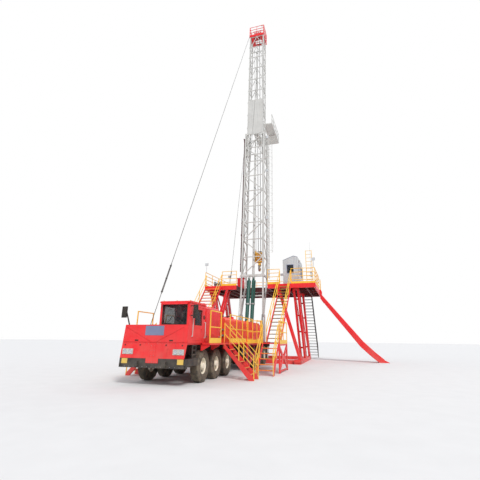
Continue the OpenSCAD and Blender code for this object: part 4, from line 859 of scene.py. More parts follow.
def make_air_filters():
    """Two ribbed filter drums on their feet."""
    filters = Piece("air_filters", "galvanised")
    for x in (-0.95, -0.35):
        filters.rod_y(x, 1.86, -13.45, -12.75, 0.17, 32)
        for y in (-13.4, -13.1, -12.8):
            filters.rod_y(x, 1.86, y - 0.012, y + 0.012, 0.178, 32)
        for y in (-13.35, -12.95):
            filters.box((x - 0.1, y, 1.5), (x + 0.1, y + 0.1, 1.75))
    filters.done(smooth=True)


# Gearbox case and drawworks
CASE_X, CASE_TOP = 1.29, 2.7
WORKS_X, DRUM_Y, DRUM_Z, DRUM_HALF = 1.28, -6.9, 2.12, 0.555


def make_case_covers():
    """Bolted panels of the case, and ribs and flanges on the drawworks' side plates."""
    covers, bolts = Piece("case_covers", "orange_paint"), Piece("case_bolts", "machined_steel")
    for side in SIDES:
        x, out = side * CASE_X, side * (CASE_X + 0.006)
        for i in range(4):
            y0 = -12.48 + 0.935 * i
            bolted_panel(covers, bolts, "x", x, side * 0.006, (y0 + 0.02, 1.64), (y0 + 0.835, 2.46))
            grab(bolts, (out, y0 + 0.36, 2.3), (out, y0 + 0.5, 2.3), (side * 0.03, 0, 0), 0.008)
            for z in (1.8, 2.0) if i % 2 else ():
                covers.rod_y(out, z, y0 + 0.12, y0 + 0.72, 0.012, 8)
        # ribs, the bearing's flange and the foot strip on the drawworks' side plates
        x = side * WORKS_X
        for y in (-8.3, -7.6, -6.2, -5.45):
            covers.box((x, y, 1.54), (x + side * 0.02, y + 0.04, 2.38))
        flange = [(0.0, 0.1), (side * 0.02, 0.1), (side * 0.02, 0.24), (0.0, 0.26)]
        covers.spin(flange, 48, facing_x(x, DRUM_Y, DRUM_Z))
        for dy, dz in around(10, 0.2):
            bolts.rod_x(DRUM_Y + dy, DRUM_Z + dz, x + side * 0.02, x + side * 0.035, 0.014, 6)
        bolt_row(bolts, "x", x, side, (-8.35, 1.54), (-5.25, 1.54), 16)
        bolt_row(bolts, "x", x, side, (-8.35, 2.64), (-5.5, 2.64), 14)
    for y0, y1 in ((-12.5, -11.6), (-11.5, -10.4), (-10.3, -9.6), (-9.5, -8.8)):
        bolted_panel(covers, bolts, "z", CASE_TOP, 0.008, (-1.1, y0), (1.1, y1), 0.04, 0.3)
    bolted_panel(covers, bolts, "z", CASE_TOP, 0.006, (-1.18, -8.35), (1.18, -7.4), 0.04, 0.3)
    covers.done(bevel=0.002)
    bolts.done()


def make_case_top():
    """Boxes along the case's top, each with a hose and a stub, and three long pipes between them."""
    red, grey = Piece("case_top_red", "red_paint"), Piece("case_top_grey", "galvanised")
    dark = Piece("case_top_hoses", "black_plastic")
    for k in range(16):
        x = rng.choice(SIDES) * rng.uniform(0.35, 1.0)
        y = -12.4 + k * 0.235
        w, d, h = rng.uniform(0.08, 0.2), rng.uniform(0.07, 0.11), rng.uniform(0.05, 0.17)
        top = CASE_TOP + h
        box = red if k % 3 else grey
        box.box((x - w, y - d, CASE_TOP + 0.005), (x + w, y + d, top + 0.01))
        end_x, end_y = x * 0.3, y + 0.1
        bend = (x, y, top), (x, y, top + 0.08), (end_x, end_y, top + 0.08 - h / 2)
        dark.path((*bend, (end_x, end_y, CASE_TOP)), 0.014, 8)
        grey.rod_z(x + w * 0.5, y, top, top + 0.04, 0.03, 16)
    for x in (-0.15, 0.0, 0.16):
        grey.path([(x, -12.5, 2.71), (x, -12.4, 2.78), (x, -8.9, 2.78), (x, -8.7, 2.72)], 0.022, 10)
    red.done(bevel=0.006)
    grey.done(smooth=True)
    dark.done(smooth=True)


def make_drum_rope():
    """The rope wound on the drum: one bead of the outline for each wrap."""
    wraps = Piece("rope_wraps", "wire_rope", "drum")
    outline = [(-DRUM_HALF, 0.3)]
    count = 42
    pitch = 2 * DRUM_HALF / count
    bead = ((0.15, 0.314), (0.5, 0.322), (0.85, 0.314))
    for i in range(count):
        outline += [((i + share) * pitch - DRUM_HALF, r) for share, r in bead]
    outline.append((DRUM_HALF, 0.3))
    wraps.spin(outline, 64, facing_x(0, DRUM_Y, DRUM_Z))
    wraps.done(smooth=True)


def make_brake_bands():
    """A band round most of each brake rim, with its lever and foot."""
    bands = Piece("brake_bands", "machined_steel")
    band = [(-0.08, 0.438), (0.08, 0.438), (0.08, 0.452), (-0.08, 0.452)]
    for side in SIDES:
        x = side * 0.78
        bands.spin(band, 64, facing_x(x, DRUM_Y, DRUM_Z), keep=lambda i, k: 6 <= k < 56)
        bands.rod((x, -7.25, 1.52), (x, -7.2, 1.8), 0.03, 12)
        bands.box((x - 0.12, -7.45, 1.5), (x + 0.12, -7.1, 1.56))
    bands.done(smooth=True)


# Mast: the numbers of these pieces are in the mast's own frame
LOW_STEP = (17.5 - 3.2 - 0.07) / 9  # from one cross member of the lower section to the next
TOP_STEP = (31.3 - 15.1 - 0.07) / 10  # the same of the upper section
PIPE_X, LADDER_X, LADDER_Y = -1.06, 0.7, (0.3, 0.66)


def mast(x, y, z):
    """A point of the mast's own frame, whose origin is the pivot, in the row frame."""
    return MAST @ Vector((x, y, z))


def make_mast_gussets():
    """Bolted gussets, and the caps of the pivot and latch pins, on the lower section."""
    steel = Piece("mast_gussets", "white_paint", "mast", MAST)
    bolts = Piece("mast_bolts", "machined_steel", "mast", MAST)
    for side in SIDES:
        x = side * 0.915
        for i in range(10):
            z = 3.235 + i * LOW_STEP
            steel.box((x - side * 0.15, -0.178, z - 0.13), (x + side * 0.05, -0.164, z + 0.13))
            for y in (-0.14, 1.22):
                steel.box((side * 0.975, y - 0.02, z - 0.12), (side * 0.987, y + 0.1, z + 0.12))
            for dz in (-0.08, 0.08):
                bolts.rod_y(x, z + dz, -0.178, -0.19, 0.014, 6)
        for r, x0, x1 in ((0.11, 0.905, 0.93), (0.07, 1.03, 1.05)):
            steel.rod_x(0, 0, side * x0, side * x1, r, 24)
        steel.rod_x(0.12, 3.2, side * 1.0, side * 1.06, 0.06, 16)
    steel.done(bevel=0.002)
    bolts.done()


def make_standpipe():
    """The standpipe with its clamps, and the hoses along the front legs."""
    pipe = Piece("standpipe", "dark_red", "mast", MAST)
    bend = ((0, 3.6), (0, 16.6), (-0.1, 16.95), (-0.26, 16.9))
    pipe.path([(PIPE_X, y, z) for y, z in bend], 0.055, 16)
    for z in (4.2, 5.6, 8.0, 10.4, 12.8, 15.2):
        pipe.rod_z(PIPE_X, 0, z, z + 0.06, 0.075, 16)
        pipe.box((PIPE_X, -0.02, z), (-0.97, 0.02, z + 0.05))
    pipe.rod_z(PIPE_X, 0, 6.8, 6.95, 0.085, 16)
    pipe.done(smooth=True)
    hoses = Piece("mast_hoses", "black_plastic", "mast", MAST)
    for y in (0.0, 0.045, 0.09):
        hoses.rod_z(0.868, y, 3.4, 16.9, 0.014, 8)
        hoses.rod_z(-0.868, y, 3.4, 17.3, 0.011, 8)
    hoses.done(smooth=True)


def make_mast_lamps():
    """Three pairs of lamps on arms."""
    lamps = Piece("mast_lamp_boxes", "galvanised", "mast", MAST)
    glow = Piece("mast_lamp_glass", "lamp_lens", "mast", MAST)
    for z in (8.2, 13.0, 16.8):
        for side, x in ((1, 1.2), (-1, -1.04)):
            lamp(lamps, glow, x, 0.07, -0.05, z, z + 0.28, 0.1, 0.03)
            lamps.rod_x(0, z + 0.14, side * 0.96, x, 0.02, 8)
    lamps.done(bevel=0.01)
    glow.done()


def make_climbing_cage():
    """Clips of the lower section's ladder, and its cage of hoops and lengthwise straps."""
    clips = Piece("ladder_clips", "white_paint", "mast", MAST)
    for y in (0.88, 1.26):
        clips.row(9, (0, 0, 1.6), (1.09, y - 0.012, 3.6), (1.16, y + 0.052, 3.65))
    turns = [0.35 + 0.305 * k for k in range(9)]
    hoop = [(1.125 + 0.36 * math.sin(a), 1.09 - 0.36 * math.cos(a)) for a in turns]
    for i in range(15):
        clips.path([(*p, 5.6 + i * 0.8) for p in hoop], 0.009, 6)
    for k in (2, 4, 6):
        clips.rod_z(*hoop[k], 5.6, 16.8, 0.008, 6)
    clips.done(smooth=True)


def make_mast_top():
    """Gussets, cables and the ladder of the upper section."""
    upper = Piece("upper_gussets", "white_paint", "mast_top", MAST)
    for i in range(11):
        z = 15.135 + i * TOP_STEP
        for side in SIDES:
            upper.box((side * 0.76 - 0.1, -0.048, z - 0.1), (side * 0.76 + 0.05, -0.036, z + 0.1))
            for y in (-0.02, 0.96):
                upper.box((side * 0.81, y, z - 0.1), (side * 0.82, y + 0.1, z + 0.1))
        upper.box((-0.1, -0.048, z - 0.07), (0.1, -0.034, z + 0.07))
    upper.done(bevel=0.002)
    cable = Piece("upper_cables", "black_plastic", "mast_top", MAST)
    for x, y in ((0.725, 0.15), (-0.725, 0.15), (-0.725, 0.18)):
        cable.rod_z(x, y, 17.8, 31.2, 0.01, 8)
    cable.done()
    ladder = Piece("upper_ladder", "white_paint", "mast_top", MAST)
    for y in LADDER_Y:
        ladder.rod_z(LADDER_X, y, 17.7, 31.4, 0.017, 8)
        for i in range(8):
            ladder.rod_x(y, 18.2 + i * 1.8, LADDER_X + 0.07, LADDER_X, 0.014, 8)
    for i in range(45):
        ladder.rod_y(LADDER_X, 17.9 + i * 0.3, *LADDER_Y, 0.011, 8)
    ladder.done(smooth=True)


def make_crown():
    """Rope guards over the sheaves, the crown's grating, and the beacon on its stem."""
    guard = Piece("crown_guards", "red_paint", "mast_top", MAST)
    for y in (0.14, 1.18):
        for z in (31.9, 32.35):
            guard.rod_x(y, z, -0.48, 0.48, 0.02, 10)
    bow = ((0.2, 31.55), (0.5, 32.35), (0.82, 32.35), (1.12, 31.55))
    for x in (-0.5, 0.5):
        guard.rod_x(0.66, 32.12, x - 0.03, x + 0.03, 0.11, 24)
        guard.path([(x, y, z) for y, z in bow], 0.02, 8)
    for y in (0.0, 1.3):
        guard.box((-0.84, y - 0.02, 31.545), (0.84, y + 0.02, 31.6))
    guard.done(smooth=True)
    mat = Piece("crown_deck", "galvanised", "mast_top", MAST)
    for x in (-0.62, 0.62):
        mat.row(14, (0, 0.098, 0), (x - 0.16, -0.05, 31.542), (x + 0.16, -0.02, 31.556))
    mat.done()
    beacon = Piece("crown_beacon", "amber_lens", "mast_top", MAST)
    beacon.rod_z(0.6, 0, 32.86, 33.0, 0.06, 20, 0.045)
    beacon.done(smooth=True)
    stem = Piece("beacon_stem", "galvanised", "mast_top", MAST)
    stem.rod_z(0.6, 0, 31.54, 32.86, 0.02, 10)
    stem.done(smooth=True)


# Ropes
LINE_R, STAY_R = 0.013, 0.014
CROWN_Z, LINE_CUT_Z, BLOCK_TOP = 35.4, 21.0, 8.86


def rope(name, start, end, r, a, sleeve=(0, 0)):
    """A straight rope from start to end, in short lengths; a is not used, as the rope rides no body.

    sleeve is the stretch of a tensioner, as shares of the rope.
    """
    piece = Piece(name, "wire_rope", a)
    start, end = Vector(start), Vector(end)

    def length(low, high, r, sides):
        piece.rod(start.lerp(end, low), start.lerp(end, high), r, sides)

    parts = 12
    for k in range(parts):
        length(k / parts, (k + 1) / parts, r, 8)
    low, high = sleeve
    if high:
        length(low, high, 0.036, 20)
        for share in (low, (low + high) / 2, high):
            length(share - 0.001, share + 0.001, 0.045, 20)
        for share in (low - 0.004, low - 0.002, high + 0.002, high + 0.004):
            length(share, share + 0.0009, 0.024, 8)
    obj = piece.done(smooth=True, ride=False)
    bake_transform(obj)
    return obj


def make_stays():
    """The straight stays with their tensioners."""
    foot, head = Vector((-0.75, -16.1, 2.188)), mast(-0.825, -0.16, 31.35)
    middle = foot.lerp(head, 0.64)
    low_foot, low_head = (-1.9, -2.62, 5.844), mast(-0.9893, -0.14, 16.2)
    for stay in (
        rope("long_stay_low", foot, middle, STAY_R, "carrier", (0.0703, 0.1328)),
        rope("long_stay_high", middle, head, STAY_R, "mast"),
        rope("short_stay", low_foot, low_head, STAY_R, "carrier", (0.045, 0.085)),
    ):
        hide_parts("front_stays")


def make_lines():
    """The drilling lines, from the crown to the middle of the mast and on to the hook block."""
    for k, x in enumerate((-0.22, 0.0, 0.22)):
        for side, letter in ((-1, "f"), (1, "r")):
            top = Vector((x * 1.4 + 0.03 * side, 0.02 + side * 0.44, CROWN_Z))
            bottom = Vector((x, side * 0.388, BLOCK_TOP))
            cut = bottom.lerp(top, (LINE_CUT_Z - BLOCK_TOP) / (CROWN_Z - BLOCK_TOP))
            rope(f"line_high_{k}{letter}", top, cut, LINE_R, "mast_top")
            rope(f"line_low_{k}{letter}", cut, bottom, LINE_R, "mast")
    drum_top, crown = Vector((0.2, -6.98, 2.43)), Vector((0.33, -0.43, CROWN_Z))
    cut = drum_top.lerp(crown, 0.55)
    rope("fast_line_low", drum_top, cut, LINE_R, "carrier")
    rope("fast_line_high", cut, crown, LINE_R, "mast")


# Hook block and raising cylinders
SHEAVE_Z, CHEEK_X = 8.8, 0.38
RAM_FOOT = (-3.8, 1.1)  # y and z of the cylinders' lower pins


def make_block():
    """Bolted cheeks, dark stripes, the becket pin, and the hook's latch."""
    trim = Piece("block_bolts", "machined_steel", "block")
    stripe = Piece("block_stripes", "chassis_paint", "block")
    for side in SIDES:
        x = side * CHEEK_X
        for y, z in around(8, 0.16):
            trim.rod_x(y, SHEAVE_Z + z, x, x + side * 0.012, 0.016, 6)
        trim.rod_x(0, SHEAVE_Z, x, x + side * 0.035, 0.1, 24)
        for reach, z in ((0.18, 8.34), (0.27, 8.6), (0.14, 9.22)):
            for y in (-reach, reach):
                trim.rod_x(y, z, x, x + side * 0.014, 0.02, 6)
        for k in range(3):
            turn = facing_x(x, 0, 8.5 + k * 0.32) @ Matrix.Rotation(side * 0.6, 4, "X")
            stripe.box((-0.004, -0.26, -0.045), (0.004, 0.26, 0.045), turn)
    latch = [(-0.07, 0.24), (-0.07, 0.27), (0.07, 0.27), (0.07, 0.24)]
    trim.spin(latch, 40, facing_x(0, 0, 7.7), keep=lambda i, k: not 2 <= k < 12)
    trim.rod_z(0, 0, 7.93, 7.97, 0.16, 32)
    trim.rod_z(0, 0, 8.2, 8.24, 0.155, 32)
    trim.rod_x(0, 9.25, -0.2, 0.2, 0.045, 16)
    trim.done(smooth=True)
    stripe.done()


def make_rams():
    """Glands, gland bolts and feed pipes on the raising cylinders."""
    head = mast(0, -0.35, 2.9)
    run = head.yz - Vector(RAM_FOOT)
    barrels = Piece("barrel_glands", "machined_steel", "ram_barrels")
    stages = Piece("stage_glands", "machined_steel", "ram_stages")
    rods = Piece("rod_glands", "machined_steel", "ram_rods")
    pipes = Piece("ram_pipes", "chassis_paint", "ram_barrels")
    down = Matrix.Rotation(math.pi / 2, 4, "Y")  # +X of an outline runs down the cylinder
    for side in SIDES:
        place = Matrix.Translation((side * 0.2, *head.yz)) @ Matrix.Rotation(-math.atan2(*run), 4, "X")
        for piece in (barrels, stages, rods, pipes):
            piece.place = place
        for piece, x0, x1, r0, r1 in (
            (barrels, 2.06, 2.155, 0.15, 0.176),
            (stages, 3.548, 3.575, 0.12, 0.154),
        ):
            piece.spin([(x0, r0), (x0, r1), (x1, r1), (x1, r0)], 40, down)
        for x, y in around(10, 0.16):
            barrels.rod_z(x, y, -2.155, -2.172, 0.011, 6)
        x = side * 0.1
        feed = (x, -0.16, -0.25), (x, -0.2, -0.32), (x, -0.2, -1.95), (side * 0.09, -0.14, -2.0)
        pipes.path(feed, 0.016, 8)
        for z in (-0.7, -1.3, -1.8):
            pipes.rod_z(x, -0.2, z, z - 0.05, 0.028, 8)
        rods.rod_z(0, 0, 0.16 - run.length, 0.21 - run.length, 0.105, 32)
    for piece in (barrels, stages, rods, pipes):
        piece.done(smooth=True)


# Racking board: the numbers are from its hinge line
BOARD_X, BOARD_L = (-0.95, 1.4), 3.95


def make_board():
    """Finger tubes, treads beside the slot and lamps on the far rail of the level racking board."""
    place = Matrix.Translation(mast(0, 1.44, 19.72))
    tubes = Piece("board_fingers", "white_paint", "board", place)
    for i in range(5):
        for y in (2.425 + i * 0.27, 2.615 + i * 0.27):
            tubes.rod_x(y, 0.118, 0.56, BOARD_X[1] - 0.15, 0.012, 8)
            tubes.rod_x(y, 0.118, BOARD_X[0] + 0.15, -0.2, 0.012, 8)
    for x in (-0.47, 0.47):
        tubes.rod_y(x, 0.12, 0.1, 2.3, 0.015, 8)
    tubes.done(smooth=True)
    treads = Piece("board_treads", "galvanised", "board", place)
    for x0, x1 in ((BOARD_X[0] + 0.06, -0.5), (0.56, BOARD_X[1] - 0.06)):
        treads.row(22, (0, 0.1, 0), (x0, 0.12, 0.108), (x1, 0.15, 0.118))
    treads.done()
    lamps = Piece("board_lamps", "galvanised", "board", place)
    glow = Piece("board_lamp_glass", "lamp_lens", "board", place)
    y = BOARD_L - 0.1
    for x in (-0.7, 1.15):
        lamp(lamps, glow, x, y, y + 0.06, 0.86, 1.06, 0.12)
    lamps.done(bevel=0.008)
    glow.done()


# Rig floor
def make_grating():
    """The floor's grating bars, left out along the middle, in the mast's slot and under the dog house."""
    grate = Piece("floor_grating", "dark_red")
    for k in range(52):
        x = -3.98 + k * 0.172
        beside_house = 2.35 < x < 3.72
        spans = [(1.45 if beside_house else 0.72, 3.5)]
        if abs(x) >= 1.38:
            spans.append((-2.6, -1.65 if beside_house else -0.72))
        for y0, y1 in spans:
            grate.box((x, y0, FLOOR_Z), (x + 0.03, y1, FLOOR_Z + 0.006))
    grate.done()


def make_consoles():
    """The driller's stand with its dials and levers, a chest, the air winch and the bore's cover."""
    post = Piece("floor_console", "red_paint")
    post.box((-1.9, -0.6, FLOOR_Z), (-1.35, -0.2, 6.75))
    post.box((-1.95, -0.65, 6.75), (-1.3, -0.15, 6.8))
    post.box((-3.7, 2.4, FLOOR_Z), (-2.9, 2.9, 6.2))
    post.done(bevel=0.01)
    dials = Piece("console_dials", "machined_steel")
    dial = [(0.012, 0.0), (0.012, 0.05), (0.0, 0.055), (0.0, 0.0)]
    for k in range(4):
        x = -1.82 + 0.13 * k
        dials.spin(dial, 24, facing_up(x, -0.5, 6.8))
        dials.rod((x, -0.28, 6.8), (x, -0.24, 7.0), 0.009, 8)
    # air winch: drum between two cheeks on a bed
    for x0, x1, r in ((-3.5, -3.0, 0.13), (-3.52, -3.48, 0.22), (-3.02, -2.98, 0.22)):
        dials.rod_x(-1.9, 6.12, x0, x1, r, 28)
    dials.box((-3.6, -2.1, FLOOR_Z), (-2.9, -1.7, 5.88))
    # cover over the bore
    dials.rod_z(0, 0, 5.93, 5.934, 0.19, 40)
    dials.done(smooth=True)


def make_tongs():
    """A pair of tongs on posts beside the bore."""
    tongs = Piece("floor_tongs", "yellow_paint")
    for side in SIDES:
        x, y = side * 1.1, 0.9
        tongs.box((x - 0.32, y - 0.09, 6.0), (x + 0.32, y + 0.09, 6.13))
        tongs.rod_z(side * 0.75, y, 5.98, 6.15, 0.15, 20)
        tongs.box((x - 0.05, y - 0.05, FLOOR_Z), (x + 0.05, y + 0.05, 6.0))
    tongs.done(bevel=0.008)


def make_floor_edges():
    """Lamps on the rails, the rails' feet, the tall frame with rungs and the antenna."""
    lamps, glow = Piece("floor_lamps", "galvanised"), Piece("floor_lamp_glass", "lamp_lens")
    for x, y, side in ((-4.05, -2.62, -1), (5.0, -2.62, -1), (-4.05, 3.5, 1), (1.4, 3.5, 1)):
        lamps.rod_z(x, y, 7.03, 7.6, 0.022, 10)
        lamp(lamps, glow, x, y - side * 0.04, y + side * 0.04, 7.6, 7.82, 0.14, thick=0.006)
    lamps.done(bevel=0.008)
    glow.done()
    feet = Piece("rail_feet", "yellow_paint")
    top = FLOOR_Z + 0.012
    feet.row(5, (0, 1.555, 0), (-4.1, -2.74, FLOOR_Z), (-3.98, -2.6, top))
    feet.row(6, (1.45, 0, 0), (-4.14, 3.5, FLOOR_Z), (-3.98, 3.6, top))
    # tall frame with rungs at the left front corner
    frame_x, frame_y = (4.42, 4.88), -2.52
    for x in frame_x:
        feet.rod_z(x, frame_y, FLOOR_Z, 8.45, 0.022, 10)
        feet.rod_y(x, 7.0, frame_y, -2.66, 0.015, 8)
    for k in range(9):
        feet.rod_x(frame_y, 6.1 + k * 0.29, *frame_x, 0.015, 8)
    feet.done(smooth=True)
    pole = Piece("floor_antenna", "galvanised")
    pole.rod_z(4.78, -2.56, FLOOR_Z, 9.1, 0.012, 8, 0.006)
    pole.box((4.72, -2.6, 6.3), (4.84, -2.54, 6.7))
    pole.done()


# Dog house: its heights are above the rig floor
ON_FLOOR = Matrix.Translation((0, 0, FLOOR_Z))
CABIN_X, CABIN_Y, RIDGE_X = (2.4, 3.65), (-1.6, 1.4), 3.3


def make_house_ribs():
    """Pressed ribs on the four walls, broken at the door and the windows."""
    ribs = Piece("dog_house_ribs", "galvanised", place=ON_FLOOR)
    (x0, x1), (y0, y1) = CABIN_X, CABIN_Y
    for k in range(24):
        y = y0 + 0.06 + k * 0.125
        low = 2.12 if -1.42 < y < -0.5 else 0.05
        for a, b in ((low, 0.98), (1.82, 2.3)) if -0.08 < y < 0.95 else ((low, 2.3),):
            ribs.box((x1, y - 0.02, a), (x1 + 0.014, y + 0.02, b))
        ribs.box((x0 - 0.014, y - 0.02, 0.05), (x0, y + 0.02, 2.08))
    for k in range(10):
        x = x0 + 0.08 + k * 0.12
        roof = 2.1 + 0.36 * min(1.0, (x - x0) / 0.9) if x < RIDGE_X else 2.4
        spans = ((0.05, 0.98), (1.77, roof)) if 2.68 < x < 3.32 else ((0.05, roof),)
        for a, b in spans:
            plate(ribs, "y", y0, -0.014, (x - 0.02, a), (x + 0.02, b))
        plate(ribs, "y", y1, 0.014, (x - 0.02, 0.05), (x + 0.02, roof))
    ribs.done()


def make_house_frames():
    """Frames and panes of the two windows, and the roof's ridge and edges."""
    (x0, x1), (y0, y1) = CABIN_X, CABIN_Y
    frames = Piece("dog_house_frames", "plate_blue", place=ON_FLOOR)
    ring(frames, "x", x1, 0.02, (0.0, 1.05), (0.9, 1.75), 0.04)
    ring(frames, "y", y0, -0.02, (2.75, 1.05), (3.25, 1.7), 0.04)
    plate(frames, "x", x1, 0.018, (0.44, 1.05), (0.46, 1.75))
    frames.rod_y(RIDGE_X, 2.475, y0 - 0.01, y1 + 0.01, 0.02, 8)
    eaves = [(x, y0 - 0.01, z) for x, z in ((x0, 2.13), (RIDGE_X, 2.47), (x1, 2.35))]
    for start, end in zip(eaves, eaves[1:]):
        frames.rod(start, end, 0.016, 8)
    frames.rod_y(x0, 2.13, y0, y1, 0.018, 8)
    frames.done(bevel=0.003)
    panes = Piece("dog_house_panes", "glass", place=ON_FLOOR)
    plate(panes, "x", x1 - 0.03, 0.006, (-0.02, 1.03), (0.92, 1.77))
    plate(panes, "y", y0 + 0.03, -0.006, (2.73, 1.03), (3.27, 1.72))
    panes.done()


def make_house_door():
    """The door's pane with its frame, the handle and three straps."""
    x1 = CABIN_X[1]
    door = Piece("dog_house_door_trim", "plate_blue", "dog_house_door", ON_FLOOR)
    ring(door, "x", x1, 0.012, (-1.165, 1.255), (-0.785, 1.795), 0.03)
    grab(door, (x1, -0.66, 0.98), (x1, -0.66, 1.14), (0.04, 0, 0), 0.01, 8)
    for z in (0.2, 0.95, 1.95):
        plate(door, "x", x1, 0.006, (-1.3, z), (-0.66, z + 0.04))
    door.done(bevel=0.002)
    door_pane = Piece("dog_house_door_pane", "glass", "dog_house_door", ON_FLOOR)
    plate(door_pane, "x", x1 - 0.03, 0.006, (-1.18, 1.24), (-0.77, 1.81))
    door_pane.done()


def make_house_extras():
    """The cooler on the wall, the lamp over the door, and the bench and locker inside."""
    x0, x1 = CABIN_X
    extras = Piece("dog_house_extras", "white_paint", place=ON_FLOOR)
    extras.box((x0 - 0.24, 0.2, 1.2), (x0 - 0.015, 0.85, 1.65))
    extras.row(9, (0, 0, 0.045), (x0 - 0.25, 0.24, 1.24), (x0 - 0.24, 0.81, 1.26))
    extras.box((x1 - 0.01, -1.1, 2.12), (x1 + 0.12, -0.85, 2.2))
    extras.done(bevel=0.006)
    inside = Piece("dog_house_bench", "plate_blue", place=ON_FLOOR)
    inside.box((2.5, -1.4, 0.07), (2.85, 1.2, 0.5))
    inside.box((2.47, 0.3, 0.9), (2.75, 1.25, 1.8))
    inside.done(bevel=0.01)


# Slide and stairs
def make_slide():
    """Side tubes, cross ribs and the top roller of the V-door slide."""
    line = [(5.075, 5.56), (8.283, 1.56), (9.099, 0.76), (9.762, 0.2)]
    red = Piece("slide_tubes", "red_paint")
    for y, out in ((1.74, -1), (2.86, 1)):
        red.path([(x, y, z + 0.012) for x, z in line], 0.034, 12)
        for k in range(9):
            x, z = Vector(line[0]).lerp(Vector(line[1]), (k + 0.5) / 9)
            red.box((x - 0.02, y + out * 0.05, z - 0.5), (x + 0.02, y + out * 0.035, z - 0.05))
    red.done(smooth=True)
    worn = Piece("slide_ribs", "machined_steel")
    for k in range(5):
        y = 1.9 + k * 0.2
        worn.rod((5.2, y, 5.21), (8.27, y, 1.38), 0.014, 8)
    worn.rod_y(5.11, 5.6, 1.84, 2.76, 0.05, 24)
    worn.done(smooth=True)


def make_stairs():
    """Nosings on every tread, perforated treads on the right front and rear stairs, the landing."""
    nose, dark = Piece("tread_nosings", "yellow_paint"), Piece("rear_treads", "machined_steel")

    def nosing(x0, x1, y, z, top=0.01):
        nose.box((x0, y - 0.062, z - 0.01), (x1, y - 0.052, z + top))

    for i in range(1, 22):
        t = i / 22
        y, z, rear = -7.9 + 5.2 * t, 5.82 * t, 8.0 - 4.4 * t
        nosing(-3.955, -2.645, y, z, 0.012)
        nose.row(8, (0.165, 0, 0), (-3.93, y - 0.04, z), (-3.84, y + 0.15, z + 0.006))
        dark.row(5, (0.165, 0, 0), (3.32, rear - 0.15, z), (3.4, rear + 0.04, z + 0.006))
    for i in range(1, 17):
        t = i / 17
        nosing(2.345, 3.155, -7.88 + 5.18 * t, 1.49 + 4.33 * t)
    for i in range(1, 6):
        t = i / 6
        nosing(2.695, 3.505, -11.8 + 1.5 * t, 1.49 * t)
        x, z = 3.15 - 1.4 * t, 1.48 * t
        for side in SIDES:
            low = side * (x + 0.052), -13.91, z - 0.01
            nose.box(low, (side * (x + 0.062), -13.19, z + 0.01))
    nose.done()
    dark.done()
    tread = Piece("landing_grating", "dark_red")
    tread.row(24, (0, 0.1, 0), (1.8, -10.25, DECK_Z), (3.52, -10.225, DECK_Z + 0.006))
    tread.done()


# Base and jacks
def make_base():
    """Gussets, pins and lifting eyes on the base."""
    red, pins = Piece("base_gussets", "red_paint"), Piece("base_pins", "machined_steel")
    for side in SIDES:
        x = side * 3.5
        for y in (-3.05, 4.1):
            red.rod_x(y, 0.17, x - 0.25, x + 0.25, 0.13, 24)
        # lower and upper pins of the legs, between two gussets each
        for ys, half, low, high, shift, pin_z, r in (
            ((0.3, 3.7), 0.28, 0.3, 0.55, 0.0, 0.62, 0.07),
            ((-2.25, 1.15), 0.22, 5.15, 5.45, -0.05, 5.25, 0.06),
        ):
            for y in ys:
                for dx in (-0.245, 0.23):
                    red.box((x + dx, y - half, low), (x + dx + 0.015, y + half, high))
                for dx in (-0.25, 0.24):
                    pins.rod_x(y + shift, pin_z, x + dx, x + dx + 0.012, r, 20)
        eye = ((0.25, -0.07), (0.3, -0.05), (0.3, 0.05), (0.25, 0.07))
        for y in (-2.6, -1.6, 2.0, 2.9):
            pins.path([(x + side * dx, y + dy, 0.12) for dx, dy in eye], 0.014, 8)
        for y in (-2.6, -2.0):
            red.box((side * 3.62 - 0.16, y - 0.09, 0.3), (side * 3.62 + 0.13, y + 0.09, 0.33))
        for out in SIDES:
            red.box((x + out * 0.25, -3.0, 0.08), (x + out * 0.262, 4.05, 0.1))
    red.done(bevel=0.004)
    pins.done(smooth=True)


def make_jacks():
    """Collars, foot bolts and hoses on the jacks."""
    jacks = Piece("jack_fittings", "machined_steel")
    for side in SIDES:
        x = side * 1.18
        for y, z in ((-8.02, 0.0), (-2.48, 0.25)):
            jacks.rod_z(x, y, z + 0.44, z + 0.5, 0.115, 28)
            jacks.rod_z(x, y, z + 0.09, z + 0.13, 0.085, 24)
            jacks.rod_z(x, y, 1.1, 1.14, 0.115, 28)
            for dx, dy in around(8, 0.16):
                jacks.rod_z(x + dx, y + dy, z + 0.05, z + 0.068, 0.014, 6)
            hose = ((0.09, 0.75 + z), (0.14, 0.75 + z), (0.14, 1.15), (0.1, 1.15))
            jacks.path([(x + side * dx, y, height) for dx, height in hose], 0.012, 8)
    jacks.done(smooth=True)


# Running gear and deck
SHAFT_Z, TANK_Z, TANK_X, BOX_X = 0.66, 0.94, 0.88, 1.33


